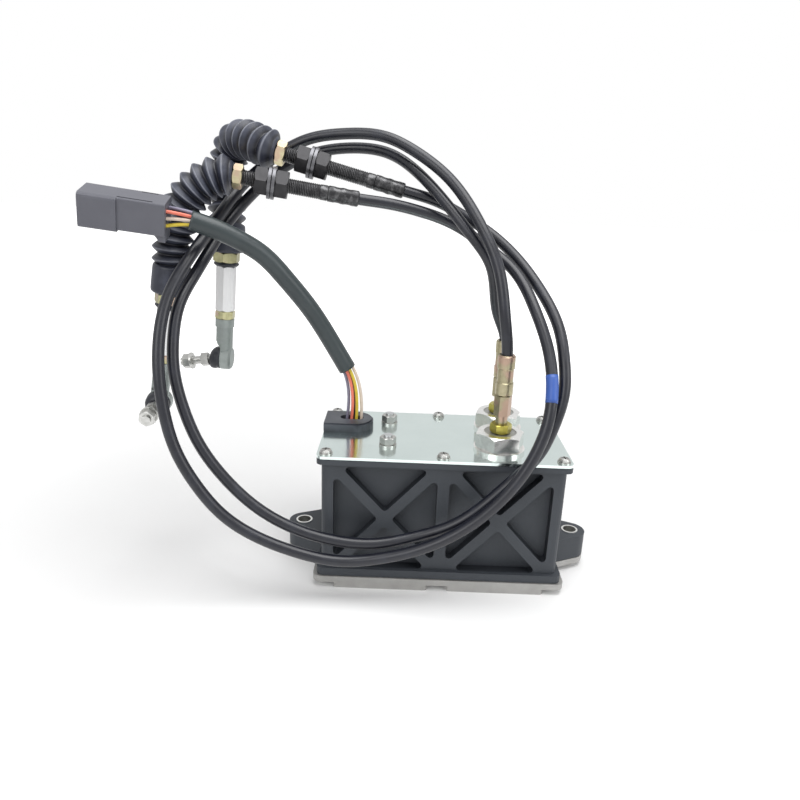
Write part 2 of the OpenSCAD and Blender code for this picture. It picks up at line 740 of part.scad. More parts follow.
module gland_nuts() {
    color([0.78, 0.79, 0.78]) at_glands() translate([0, 0, plate_top + gland_washer_t])
        rotate([0, 0, 11]) hex_nut(gland_nut_af, gland_nut_h, gland_d);
}
module jam_nuts() {
    color([0.75, 0.70, 0.22]) at_glands() translate([0, 0, gland_top])
        hex_nut(jam_af, jam_h, cable_thread_d);
}
module cable_ferrules() {
    low = plate_z - gland_flange_t;
    color([0.72, 0.70, 0.58]) at_glands() difference() {
        union() {
            translate([0, 0, low]) cylinder(d = cable_thread_d, h = thread_top - low + 0.1);
            translate([0, 0, thread_top]) hex(sleeve_af, sleeve_l);
            translate([0, 0, ferrule_z]) rotate_extrude()
                polygon([[0, 0], [ferrule_d / 2 - 1, 0], [ferrule_d / 2, 1], [ferrule_d / 2, 9],
                    [ferrule_d / 2 - 0.5, 9.6], [ferrule_d / 2 - 0.5, 18.4], [ferrule_d / 2, 19],
                    [ferrule_d / 2, ferrule_l - 1], [ferrule_d / 2 - 0.7, ferrule_l], [0, ferrule_l]]);
        }
        translate([0, 0, low - 1]) cylinder(d = core_bore, h = ferrule_top);
        translate([0, 0, ferrule_top - socket_depth])
            cylinder(d = conduit_d + 2 * thread_fit, h = socket_depth + 1);
    }
}

// A tube swept along points, its section carried along without twist
function tangent(p, i) =
    unit((i < len(p) - 1 ? unit(p[i + 1] - p[i]) : [0, 0, 0]) + (i > 0 ? unit(p[i] - p[i - 1]) : [0, 0, 0]));
function square_to(v, t) = unit(v - (v * t) * t);
function carried(p) =
    let (start = square_to(abs(tangent(p, 0).z) > 0.9 ? [1, 0, 0] : [0, 0, 1], tangent(p, 0)))
    [for (i = 0, u = start; i < len(p); u = square_to(u, tangent(p, min(i + 1, len(p) - 1))), i = i + 1) u];
module tube(p, radii, sides) {
    across = carried(p);
    points = [for (i = [0:len(p) - 1]) let (t = tangent(p, i), u = across[i], v = cross(t, u))
        each [for (j = [0:sides - 1]) let (a = 360 * j / sides)
            p[i] + radii[i] * (u * cos(a) + v * sin(a))]];
    walls = [for (i = [0:len(p) - 2], j = [0:sides - 1])
        let (a = i * sides, b = a + sides, k = (j + 1) % sides) [a + j, b + j, b + k, a + k]];
    start_cap = [for (j = [0:sides - 1]) j];
    end_cap = [for (j = [sides - 1:-1:0]) (len(p) - 1) * sides + j];
    polyhedron(points, concat([start_cap], walls, [end_cap]));
}
module cord(p, d, sides) {
    tube(p, [for (q = p) d / 2], sides);
}

// Bulkhead hubs: where each starts at its boot, and where its ferrule ends
hub_a_boot = [-145, 8, 270];
hub_a_end = [-64, 18, 258];
hub_b_boot = [-120, 27, 286];
hub_b_end = [-34, 30, 264];
hub_ferrule_l = 21;
module along(from, to) {
    d = unit(to - from);
    translate(from) rotate([0, acos(d.z), atan2(d.y, d.x)]) children();
}
module hub(from, to) {
    l = norm(to - from);
    thread_l = l - hub_ferrule_l;
    color([0.13, 0.13, 0.14]) along(from, to) difference() {
        union() {
            cylinder(d = hub_thread_d, h = thread_l + 0.1);
            translate([0, 0, thread_l]) rotate_extrude()
                polygon([[0, 0], [ferrule_d / 2 - 0.6, 0], [ferrule_d / 2, 0.6], [ferrule_d / 2, 7],
                    [ferrule_d / 2 - 0.4, 7.5], [ferrule_d / 2 - 0.4, 14], [ferrule_d / 2, 14.5],
                    [ferrule_d / 2, hub_ferrule_l - 0.6], [ferrule_d / 2 - 0.6, hub_ferrule_l],
                    [0, hub_ferrule_l]]);
        }
        translate([0, 0, 4]) cylinder(d = core_bore, h = l);
        translate([0, 0, l - socket_depth]) cylinder(d = conduit_d + 2 * thread_fit, h = socket_depth + 1);
    }
}
module hub_a() { hub(hub_a_boot, hub_a_end); }
module hub_b() { hub(hub_b_boot, hub_b_end); }
module both_hubs() {
    along(hub_a_boot, hub_a_end) children();
    along(hub_b_boot, hub_b_end) children();
}
hub_nut_at = 14;
hub_washer_t = 2;
hub_clamp = hub_nut_at + hub_nut_h;
module hub_nuts() {
    color([0.17, 0.17, 0.18]) both_hubs() for (z = [hub_nut_at, hub_clamp + 2 * hub_washer_t + 0.6]) {
        translate([0, 0, z]) rotate([0, 0, 27]) hex_nut(hub_nut_af, hub_nut_h, hub_thread_d);
    }
}
module hub_washers() {
    color([0.50, 0.52, 0.52]) both_hubs() for (z = [hub_clamp, hub_clamp + hub_washer_t + 0.6]) {
        translate([0, 0, z]) ring(hub_washer_d, hub_thread_d + 0.5, hub_washer_t);
    }
}
boot_nut_af = 14;
boot_nut_h = 6;
module boot_nuts() {
    color([0.75, 0.70, 0.45]) both_hubs() hex_nut(boot_nut_af, boot_nut_h, hub_thread_d);
}

// Bellows boots: a curve leaves the hub along its axis and ends at the top of a straight
// cuff, which stands in line with the rod below it
rod_a_base = [-191.4, 7, 192.1];
rod_b_base = [-160.9, 45, 217.1];
lean_a = 9.5;
lean_b = 4;
function above(base, lean) = base + cuff_l * [sin(lean), 0, cos(lean)];
function boot_curve(from, to, reach, bend, top) =
    let (out = unit(from - to)) [from + seat_gap * out, from + reach * out, bend, top];
function bezier(c, t) = pow(1 - t, 3) * c[0] + 3 * pow(1 - t, 2) * t * c[1]
    + 3 * (1 - t) * t * t * c[2] + pow(t, 3) * c[3];
function run_table(c, n) =
    [for (i = 0, s = 0; i <= n; s = s + norm(bezier(c, (i + 1) / n) - bezier(c, i / n)), i = i + 1)
        [s, i / n]];
module boot(curve, base) {
    table = run_table(curve, 60);
    total = table[60][0];
    neck = 1.2;
    folds = round((total - neck) / fold_pitch);
    fold = (total - neck) / folds;
    cuff_d = boot_d * 0.96;
    stops = concat([0, 0.3],
        [for (i = [0:folds - 1], k = [0.1, 0.5, 0.9]) neck + fold * (i + k)]);
    radii = concat([boot_d * 0.3, boot_d * 0.31],
        [for (i = [0:folds - 1]) each [boot_d * 0.37, boot_d / 2, boot_d * 0.37]],
        [cuff_d / 2 - 1, cuff_d / 2, cuff_d / 2, cuff_d / 2 - 1]);
    up = unit(curve[3] - base);
    color([0.16, 0.16, 0.18]) tube(concat(
        [for (s = stops) bezier(curve, lookup(s, table))],
        [for (h = [cuff_l - 0.5, cuff_l - 2, 1.5, 0]) base + h * up]), radii, 16);
}
module boot_a() {
    boot(boot_curve(hub_a_boot, hub_a_end, 12.1, [-186.2, 5.7, 261.2], above(rod_a_base, lean_a)), rod_a_base);
}
module boot_b() {
    boot(boot_curve(hub_b_boot, hub_b_end, 18.6, [-167.3, 71.7, 315.6], above(rod_b_base, lean_b)), rod_b_base);
}

// Conduit routes between the ferrules and the hubs
route_a = [[35, -20, 188], [29, -11, 220], [17, 1, 245], [-4, 19, 273], [-28, 31, 290],
    [-50, 42, 299], [-77, 50, 300], [-104, 52, 295], [-128, 49, 281], [-146, 35, 263],
    [-159, 16, 242], [-169, -8, 222], [-180, -25, 199], [-184, -38, 175],
    [-180, -52, 127], [-173, -56, 103], [-160, -60, 81], [-142, -62, 60], [-120, -63, 46],
    [-94, -63, 36], [-67, -63, 31], [-41, -63, 34], [-16, -64, 42], [7, -64, 54],
    [43, -63, 90], [55, -60, 111], [62, -55, 132], [64, -45, 154], [62, -33, 172], [54, -16, 195],
    [42, 6, 216], [25, 21, 229], [4, 26, 242], [-21, 23, 251], [-46, 20, 256]];
route_b = [[35, 17, 184], [25, 5, 221], [11, 8, 239], [-6, 18, 258], [-26, 33, 277],
    [-48, 49, 289], [-75, 58, 291], [-98, 60, 287], [-121, 58, 276], [-140, 47, 259],
    [-153, 27, 241], [-170, -7, 206], [-176, -21, 190], [-178, -30, 172],
    [-177, -37, 151], [-171, -42, 127], [-161, -46, 104], [-145, -49, 82], [-122, -53, 62],
    [-97, -55, 49], [-70, -56, 42], [-43, -56, 41], [-18, -54, 46], [7, -54, 56],
    [43, -52, 88], [59, -51, 107], [68, -48, 128], [73, -42, 147], [73, -34, 164], [70, -20, 184],
    [60, -2, 204], [46, 17, 222], [27, 30, 238], [8, 35, 249], [-14, 31, 259]];
module conduit(gland, route, from, to) {
    // The last stretch at each end runs straight into its ferrule
    inward = unit(from - to);
    bottom = socket_depth - 0.2;
    color([0.20, 0.21, 0.25]) cord(concat(
        [[gland.x, gland.y, ferrule_top - bottom], [gland.x, gland.y, ferrule_top + 1]], route,
        [to - inward, to + bottom * inward]), conduit_d, 10);
}
module conduit_a() { conduit(gland_places[0], route_a, hub_a_boot, hub_a_end); }
module conduit_b() { conduit(gland_places[1], route_b, hub_b_boot, hub_b_end); }

// Rod ends: drawn hanging down from the boot's cuff, with the ball stud along -X
ring_z = 7;
adjuster_z = 10;
lock_z = adjuster_z + adjuster_l;
lock_h = 6;
neck_z = lock_z + lock_h;
ball_z = neck_z + 30.5;
socket_mouth = 1.8; // from the ball's middle to the socket's open face
socket_back = 6.2;  // and to its closed back
module rod_frame(base, lean, spin) {
    translate(base) rotate([0, lean, 0]) rotate([0, 0, spin]) mirror([0, 0, 1])
        translate([0, 0, seat_gap]) children();
}
module at_a() { rod_frame(rod_a_base, lean_a, 94) children(); }
module at_b() { rod_frame(rod_b_base, lean_b, 0) children(); }
module rod() {
    color("silver") cylinder(d = rod_d, h = adjuster_z + 16);
}
module end_nut() {
    color([0.75, 0.70, 0.45]) rotate([0, 0, 30]) hex_nut(hub_nut_af, ring_z, rod_d);
}
module black_ring() {
    color([0.1, 0.1, 0.1]) translate([0, 0, ring_z]) rotate_extrude()
        polygon([[rod_d / 2 + 0.1, 0], [8.2, 0], [9, 1.2], [9, 1.8], [7.8, 3], [rod_d / 2 + 0.1, 3]]);
}
module adjuster() {
    color([0.82, 0.82, 0.82]) translate([0, 0, adjuster_z]) rotate([0, 0, 30]) difference() {
        intersection() {
            hex(adjuster_af, adjuster_l);
            rotate_extrude() polygon([[0, 0], [adjuster_af / 2, 0], [adjuster_af / 2 / cos(30), 1],
                [adjuster_af / 2 / cos(30), adjuster_l - 1], [adjuster_af / 2, adjuster_l],
                [0, adjuster_l]]);
        }
        translate([0, 0, -1]) cylinder(d = rod_d + 2 * thread_fit, h = adjuster_l + 2);
    }
}
module lock_nut() {
    color([0.75, 0.70, 0.45]) translate([0, 0, lock_z]) rotate([0, 0, 30]) hex_nut(adjuster_af, lock_h, rod_d);
}
module ball_socket() {
    // A collared shank whose side slopes back to a cup, closed behind and open to the stud
    length = socket_mouth + socket_back;
    color([0.56, 0.59, 0.58]) difference() {
        union() {
            translate([0, 0, lock_z - 14]) cylinder(d = rod_d, h = 14 + lock_h + 1);
            translate([0, 0, neck_z]) cylinder(d = 14, h = 6);
            translate([0, 0, neck_z]) cylinder(r = socket_back, h = ball_z - neck_z);
            translate([0, 0, ball_z]) rotate([0, 90, 0]) translate([0, 0, -socket_mouth]) rotate_extrude()
                polygon([[0, 0], [socket_d / 2 - 0.4, 0], [socket_d / 2, 0.4],
                    [socket_d / 2, length - 1.5], [socket_d / 2 - 1.5, length], [0, length]]);
        }
        translate([0, 0, ball_z]) sphere(d = ball_d + 2 * run_fit);
        translate([0, 0, ball_z]) rotate([90, 0, 0]) translate([0, 0, -10]) linear_extrude(20)
            polygon([[-socket_mouth, 1], [-socket_mouth, -8.6], [-7, -15], [-12, -15], [-12, 1]]);
    }
}
module stud_frame(droop) {
    translate([0, 0, ball_z]) rotate([0, droop - 90, 0]) children();
}
stud_collar = 11.5;
stud_thread_at = stud_collar + 5.5;
stud_nut_at = stud_thread_at + 7;
stud_neck_d = 4;
module ball_stud(droop) {
    color("silver") stud_frame(droop) {
        sphere(d = ball_d);
        cylinder(d = stud_neck_d, h = stud_collar + 0.1);
        translate([0, 0, stud_collar]) hex(9, stud_thread_at - stud_collar);
        translate([0, 0, stud_thread_at - 0.1]) cylinder(d = rod_d, h = 16);
    }
}
module stud_nut(droop) {
    color([0.85, 0.84, 0.78]) stud_frame(droop) {
        translate([0, 0, stud_nut_at]) ring(12.5, rod_d + 0.4, 1.6);
        translate([0, 0, stud_nut_at + 1.6]) hex_nut(10, 5.4, rod_d);
    }
}
module dust_boot(droop) {
    // A rubber cap between the socket's face and the stud's collar, hollow round the ball
    color([0.12, 0.13, 0.13]) translate([0, 0, ball_z]) rotate([0, -90, 0]) difference() {
        translate([0, 0, socket_mouth + 0.1]) rotate_extrude()
            polygon([[0, 0], [8.2, 0], [8.6, 1], [8, 2.2], [8.4, 3.2], [8, 5.2], [6.8, 7.2],
                [5, 8.2], [0, 8.2]]);
        sphere(d = ball_d + 2 * seat_gap);
        rotate([0, droop, 0]) cylinder(d = stud_neck_d + 2 * seat_gap, h = 20);
    }
}
module rod_a() { at_a() rod(); }
module end_nut_a() { at_a() end_nut(); }
module ring_a() { at_a() black_ring(); }
module adjuster_a() { at_a() adjuster(); }
module lock_nut_a() { at_a() lock_nut(); }
module ball_socket_a() { at_a() ball_socket(); }
module dust_boot_a() { at_a() dust_boot(stud_droop_a); }
module ball_stud_a() { at_a() ball_stud(stud_droop_a); }
module stud_nut_a() { at_a() stud_nut(stud_droop_a); }
module rod_b() { at_b() rod(); }
module end_nut_b() { at_b() end_nut(); }
module ring_b() { at_b() black_ring(); }
module adjuster_b() { at_b() adjuster(); }
module lock_nut_b() { at_b() lock_nut(); }
module ball_socket_b() { at_b() ball_socket(); }
module dust_boot_b() { at_b() dust_boot(stud_droop_b); }
module ball_stud_b() { at_b() ball_stud(stud_droop_b); }
module stud_nut_b() { at_b() stud_nut(stud_droop_b); }

// Harness: five wires, a sleeve round them and the plug
sleeve_route = [[-70, 15, 141], [-82, 13, 162], [-95, 8, 184], [-111, 1, 206], [-125, -5, 222],
    [-138, -11, 231], [-152, -16, 238], [-166, -20, 243]];
// Where each wire runs: across the grommet, across the sleeve's top end, and across the plug
wire_low = [[-4, 0], [-1.4, -1.8], [1.3, -1.8], [4, 0], [0, 2.5]];
wire_high = [[0.8, 4.5], [-1, 2.1], [-1, -2.9], [-1.2, -0.4], [1.2, -5]];
wire_plug = [[-4.5, 5], [4.5, 5], [4.5, -5], [4.5, 0], [-4.5, -5]];
connector_back = [-179.5, -21, 244.3];
connector_front = [-228.6, -28.2, 250.6];
connector_roll = -13; // its near side stands lower than its far one
wire_seat = 3; // how deep a wire goes into the plug
module wire(from, to) {
    along(from, to) cylinder(d = wire_d, h = norm(to - from), $fn = 16);
}
module harness_wires() {
    color([0.65, 0.45, 0.35]) for (i = [0:len(wire_low) - 1]) {
        low = wire_low[i];
        high = wire_high[i];
        plug = wire_plug[i];
        wire([grommet_x + low.x * 1.5, grommet_y + low.y, plate_z - 8], sleeve_route[0] + [low.x, low.y, 1]);
        wire(sleeve_route[7] + [1, high.x, high.y], connector_point(wire_seat, plug.x, plug.y));
    }
}
module harness_sleeve() {
    color([0.30, 0.33, 0.35]) cord(sleeve_route, sleeve_d, 12);
}
connector_dir = unit(connector_front - connector_back);
connector_level = unit(cross([0, 0, 1], connector_dir));
connector_steep = cross(connector_dir, connector_level);
connector_side = connector_level * cos(connector_roll) + connector_steep * sin(connector_roll);
connector_wall = 1.8;
connector_floor = connector_l - connector_hood - 6; // the cavity's bottom
wedge_t = 5;
pin_d = 1.1;
pin_setback = 13; // from the pins' tips to the mouth
function connector_point(x, y, z) =
    connector_back + x * connector_dir + y * connector_side + z * cross(connector_dir, connector_side);
module connector_frame() {
    d = connector_dir;
    translate(connector_back) rotate([0, 0, atan2(d.y, d.x)]) rotate([0, -asin(d.z), 0])
        rotate([connector_roll, 0, 0]) children();
}
module run_along(x, l) {
    // Stands an outline up across the plug and runs it along
    translate([x, 0, 0]) rotate([90, 0, 90]) linear_extrude(l) children();
}
module at_wires(x) {
    for (w = wire_plug) translate([x, w.x, w.y]) rotate([0, 90, 0]) children();
}
module connector_shell() {
    // A hood open at the mouth, a slimmer body behind it with two slots in its top, a rib
    // under the hood and a heel under the wire end
    hood_x = connector_l - connector_hood;
    body_w = connector_w - 2.4;
    slot_y = body_w / 2 - 3;
    heel = 3.2;
    color([0.45, 0.45, 0.47]) connector_frame() difference() {
        union() {
            run_along(hood_x, connector_hood) polygon(rounded(rect(connector_w, connector_h), 2.5, 3));
            run_along(0, hood_x + 1) translate([0, 0.6])
                polygon(rounded(rect(body_w, connector_h - 1.2), 1.2, 3));
            translate([hood_x + 3, -3, -connector_h / 2 - 1.2]) cube([connector_hood - 5, 6, 2]);
            rotate([90, 0, 0]) translate([0, 0, 3 - body_w / 2]) linear_extrude(body_w - 6)
                polygon([[0, -connector_h / 2 - heel], [4, -connector_h / 2 - heel],
                    [6.5, -connector_h / 2 + 2], [0, -connector_h / 2 + 2]]);
        }
        run_along(connector_floor, connector_l) polygon(rounded(
            rect(connector_w - 2 * connector_wall - 2, connector_h - 2 * connector_wall - 2), 1.5, 3));
        run_along(hood_x + 2, connector_l) polygon(rounded(
            rect(connector_w - 2 * connector_wall, connector_h - 2 * connector_wall), 1.5, 3));
        translate([hood_x - 20.5, slot_y, connector_h / 2 - 1.4]) cube([20.5, 1.6, 2]);
        translate([hood_x - 20.5, -slot_y - 1.6, connector_h / 2 - 1.4]) cube([10, 1.6, 2]);
        at_wires(-1) cylinder(d = wire_d + 1.6, h = wire_seat + 1, $fn = 16);
        at_wires(-1) cylinder(d = pin_d + 2 * thread_fit, h = connector_l, $fn = 16);
    }
}
module connector_wedge() {
    color([0.75, 0.75, 0.76]) connector_frame() difference() {
        run_along(connector_floor, wedge_t) polygon(rounded(
            rect(connector_w - 2 * connector_wall - 2.4, connector_h - 2 * connector_wall - 2.4), 1.4, 3));
        at_wires(-1) cylinder(d = pin_d + 4 * thread_fit, h = connector_l, $fn = 16);
    }
}
module connector_pins() {
    pin_foot = wire_seat + seat_gap;
    color("goldenrod") connector_frame() at_wires(pin_foot)
        cylinder(d = pin_d, h = connector_l - pin_setback - pin_foot, $fn = 16);
}

housing();
ear_bushes();
gaskets();
top_plate();
top_screws();
bottom_cover();
cover_screws();
hanger_nuts();
hanger_washers();
wire_grommet();
gear_frame();
gear_side_plate();
bearing_bracket();
guide_rods();
motor_can();
motor_cap();
position_sensor();
gland_bodies();
gland_washers();
gland_nuts();
jam_nuts();
cable_ferrules();
conduit_a();
conduit_b();
hub_a();
hub_b();
hub_nuts();
hub_washers();
boot_nuts();
boot_a();
boot_b();
harness_wires();
harness_sleeve();
connector_shell();
connector_wedge();
connector_pins();
motor_rotor();
idler_gear();
output_gear();
output_shaft();
rack();
core_rods();
rod_a();
end_nut_a();
ring_a();
adjuster_a();
lock_nut_a();
ball_socket_a();
dust_boot_a();
ball_stud_a();
stud_nut_a();
rod_b();
end_nut_b();
ring_b();
adjuster_b();
lock_nut_b();
ball_socket_b();
dust_boot_b();
ball_stud_b();
stud_nut_b();
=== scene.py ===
# Throttle motor: a flat gear-motor box with two sheathed control cables, each ending in a
# bellows boot and a ball-joint rod end, and a short harness with a plug.
# All places are in metres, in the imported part's own frame.
import bpy
import bmesh
import numpy as np
from mathutils import Matrix, Vector


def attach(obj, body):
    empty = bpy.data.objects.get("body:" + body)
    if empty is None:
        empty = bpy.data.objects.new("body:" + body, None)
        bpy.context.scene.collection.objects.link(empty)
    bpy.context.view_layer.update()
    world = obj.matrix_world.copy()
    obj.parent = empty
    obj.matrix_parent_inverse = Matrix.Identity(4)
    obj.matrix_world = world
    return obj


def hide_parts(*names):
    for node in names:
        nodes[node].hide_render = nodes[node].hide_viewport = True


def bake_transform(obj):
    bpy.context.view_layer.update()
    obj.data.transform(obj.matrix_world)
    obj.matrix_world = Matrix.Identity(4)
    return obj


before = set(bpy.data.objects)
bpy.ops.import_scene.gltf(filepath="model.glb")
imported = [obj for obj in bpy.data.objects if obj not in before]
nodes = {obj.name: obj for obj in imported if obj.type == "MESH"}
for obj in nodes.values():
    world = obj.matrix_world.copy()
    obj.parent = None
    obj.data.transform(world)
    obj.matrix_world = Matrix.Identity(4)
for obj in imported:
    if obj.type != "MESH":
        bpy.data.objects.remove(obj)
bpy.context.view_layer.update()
mm = 0.001
pi = np.pi


# Camera and studio. The lens stands in front of the box, above it and a little to its left.
# The floor is white paper, and large soft lamps light the front and the top.
class Wire:
    """A socket's output that adds, takes away, multiplies and divides as a number does."""
    def __init__(self, finish, socket):
        self.finish = finish
        self.socket = socket

    def math(self, operation, *values):
        return self.finish.node("ShaderNodeMath", {"operation": operation}, dict(enumerate(values)))

    def __add__(self, other):
        return self.math("ADD", self, other)

    def __radd__(self, other):
        return self.math("ADD", other, self)

    def __sub__(self, other):
        return self.math("SUBTRACT", self, other)

    def __rsub__(self, other):
        return self.math("SUBTRACT", other, self)

    def __mul__(self, other):
        return self.math("MULTIPLY", self, other)

    def __rmul__(self, other):
        return self.math("MULTIPLY", other, self)

    def __truediv__(self, other):
        return self.math("DIVIDE", self, other)

    def __rtruediv__(self, other):
        return self.math("DIVIDE", other, self)

    def __gt__(self, other):
        return self.math("GREATER_THAN", self, other)

    def __lt__(self, other):
        return self.math("LESS_THAN", self, other)

    def __abs__(self):
        return self.math("ABSOLUTE", self)

    def sin(self):
        return self.math("SINE", self)

    def part(self):
        return self.math("FRACT", self)

    def most(self, other):
        return self.math("MAXIMUM", self, other)

    def least(self, other):
        return self.math("MINIMUM", self, other)

    def step(self, low, high):
        """0 below low and 1 above high, with a smooth rise between them."""
        return self.finish.node("ShaderNodeMapRange", {"interpolation_type": "SMOOTHSTEP"},
                                {0: self, 1: low, 2: high, 3: 0.0, 4: 1.0})


class Finish:
    """One material. node() adds any node from its type, its settings and its sockets' values."""
    def __init__(self, name, tree=None):
        if tree is None:
            self.material = bpy.data.materials.new(name)
            self.material.use_nodes = True
            tree = self.material.node_tree
        self.tree = tree
        self.tree.nodes.clear()

    def node(self, kind, settings=None, inputs=None, out=0):
        made = self.tree.nodes.new(kind)
        for key, value in (settings or {}).items():
            setattr(made, key, value)
        for key, value in (inputs or {}).items():
            if isinstance(value, Wire):
                self.tree.links.new(value.socket, made.inputs[key])
            elif isinstance(value, tuple) and len(value) == 3 and made.inputs[key].type == "RGBA":
                made.inputs[key].default_value = (*value, 1)
            else:
                made.inputs[key].default_value = value
        return Wire(self, made.outputs[out]) if made.outputs else made

    def place(self):
        """Object coordinates, which are the part's own metres."""
        return self.node("ShaderNodeTexCoord", out="Object")

    def axes(self):
        """The three coordinates of a point as numbers."""
        split = self.node("ShaderNodeSeparateXYZ", inputs={0: self.place()})
        return [Wire(self, socket) for socket in split.socket.node.outputs]

    def across(self):
        """The piece's own map: once round its section, and metres along its length."""
        own_map = self.node("ShaderNodeTexCoord", out="UV")
        split = self.node("ShaderNodeSeparateXYZ", inputs={0: own_map})
        return [Wire(self, socket) for socket in split.socket.node.outputs][:2]

    def noise(self, size, detail):
        """Cloudy noise from 0 to 1 whose clouds are about size metres wide."""
        return self.node("ShaderNodeTexNoise", None, {
            "Vector": self.place(), "Scale": 1 / size, "Detail": detail, "Roughness": 0.5})

    def blend(self, mask, low, high):
        """One colour where mask is 0 and another where it is 1."""
        return self.node("ShaderNodeMix", {"data_type": "RGBA"}, {0: mask, 6: low, 7: high}, out=2)

    def relief(self, height, depth, strength):
        """Bumps that stand depth metres high where height is 1."""
        return self.node("ShaderNodeBump", None,
                         {"Height": height, "Distance": depth, "Strength": strength})

    def coat(self, base, rough, metal=0.0, normal=None, specular=0.5):
        """The surface itself; base, rough and normal may be values or wires."""
        inputs = {"Base Color": base, "Roughness": rough, "Metallic": metal,
                  "Specular IOR Level": specular}
        if normal is not None:
            inputs["Normal"] = normal
        surface = self.node("ShaderNodeBsdfPrincipled", None, inputs)
        self.node("ShaderNodeOutputMaterial", None, {0: surface})
        return self.material


right = np.array((0.999263, 0.011642, 0.036576))
upward = np.array((-0.038380, 0.316543, 0.947801))
upward = upward - right * (upward @ right)
upward = upward / np.linalg.norm(upward)
backward = np.cross(right, upward)
camera_place = (-0.031527, -0.455332, 0.275759)
lens = bpy.data.cameras.new("camera")
lens.sensor_width = 36
lens.lens = 30.6
lens.clip_start = 0.01
camera = bpy.data.objects.new("camera", lens)
bpy.context.scene.collection.objects.link(camera)
camera.matrix_world = Matrix([[right[i], upward[i], backward[i], camera_place[i]] for i in range(3)]
                             + [[0, 0, 0, 1]])
bpy.context.scene.camera = camera
bpy.context.scene.view_settings.view_transform = "Standard"


def lamp(name, place, aim, size, power):
    """A square soft lamp at a place, turned to face a point."""
    light = bpy.data.lights.new(name, "AREA")
    light.size = size
    light.energy = power
    thing = bpy.data.objects.new(name, light)
    bpy.context.scene.collection.objects.link(thing)
    thing.location = place
    thing.rotation_euler = (Vector(place) - Vector(aim)).to_track_quat("Z", "Y").to_euler()


lamp("top lamp", (0.1, -0.1, 1.1), (-0.05, 0, 0.1), 0.9, 11.5)
lamp("front lamp", (-0.7, -1.1, 0.8), (-0.05, 0, 0.12), 0.8, 5)
lamp("right lamp", (0.9, -0.5, 0.6), (-0.05, 0, 0.12), 0.6, 3)

world = bpy.data.worlds.new("studio")
bpy.context.scene.world = world
world.use_nodes = True
sky = Finish("studio", world.node_tree)
rays = sky.node("ShaderNodeLightPath").socket.node.outputs
seen = Wire(sky, rays["Is Camera Ray"]).most(Wire(sky, rays["Is Transmission Ray"]))
shone = Wire(sky, rays["Is Glossy Ray"])
sky.node("ShaderNodeOutputWorld", None, {0: sky.node("ShaderNodeBackground", None, {
    "Color": (1.0, 1.0, 1.0), "Strength": 0.38 + seen * 0.62 + shone * 0.44})})

bpy.ops.mesh.primitive_plane_add(size=8, location=(0, 0, 0))
floor = bpy.context.object
floor.name = "floor"
paper = Finish("white paper")
x, y = paper.axes()[:2]
# The paper glows white away from the box: hardly within 0.17 m of it, and fully from 0.77 m.
far = ((x + 0.03) * (x + 0.03) + y * y).step(0.03, 0.6)
rays = paper.node("ShaderNodeLightPath").socket.node.outputs
bright = (Wire(paper, rays["Is Camera Ray"]) * (0.02 + far * 0.98)
          + Wire(paper, rays["Is Glossy Ray"]) * 0.25)
surface = paper.node("ShaderNodeBsdfPrincipled", None, {
    "Base Color": (0.86, 0.86, 0.86), "Roughness": 0.9, "Emission Color": (1.0, 1.0, 1.0),
    "Emission Strength": bright})
paper.node("ShaderNodeOutputMaterial", None, {0: surface})
floor.data.materials.append(paper.material)


# Conduits: two steel-wound control-cable casings in a glossy black plastic sheath. Each leaves
# its ferrule on the box, hangs in one wide loop and a half, and is crimped into its hub.
def spline(points, step):
    """Points about step apart on the smooth curve through the given ones: one cubic between
    each pair, with equal slope and equal bend where two meet, over the chords' lengths."""
    points = np.asarray(points, float)
    knots = np.r_[0, np.cumsum(np.linalg.norm(np.diff(points, axis=0), axis=1))]
    gap = np.diff(knots)[:, None]
    rise = np.diff(points, axis=0) / gap
    n = len(points)
    system = np.eye(n)
    inner = np.arange(1, n - 1)
    system[inner, inner - 1] = gap[:-1, 0]
    system[inner, inner] = 2 * (gap[:-1, 0] + gap[1:, 0])
    system[inner, inner + 1] = gap[1:, 0]
    straight = np.zeros((1, 3))
    bend = np.linalg.solve(system, np.vstack([straight, 3 * np.diff(rise, axis=0), straight]))
    at = np.linspace(0, knots[-1], int(knots[-1] / step) + 2)
    k = np.clip(np.searchsorted(knots, at, side="right") - 1, 0, n - 2)
    t = (at - knots[k])[:, None]
    slope = rise[k] - gap[k] * (2 * bend[k] + bend[k + 1]) / 3
    return points[k] + t * slope + t ** 2 * bend[k] + t ** 3 * (bend[k + 1] - bend[k]) / (3 * gap[k])


def carried(path):
    """Two unit vectors square to a path at each of its points. The first starts square to a
    slanting line and is then carried along, so that neither twists."""
    tangent = np.gradient(path, axis=0)
    tangent /= np.linalg.norm(tangent, axis=1)[:, None]
    side = np.zeros_like(path)
    last = np.cross(tangent[0], (0.31, 0.95, 0.02))
    for k, t in enumerate(tangent):
        last = last - t * (last @ t)
        last = last / np.linalg.norm(last)
        side[k] = last
    return side, np.cross(tangent, side)


def swept(path, radius, around=28):
    """A tube's grid: point [i, j] lies radius[i] from path[i], at the angle 2 pi j / around.
    One radius may serve for the whole path."""
    u, v = carried(path)
    angle = np.arange(around)[:, None] * 2 * pi / around
    ring = u[:, None] * np.cos(angle) + v[:, None] * np.sin(angle)
    return path[:, None] + np.reshape(radius, (-1, 1, 1)) * ring


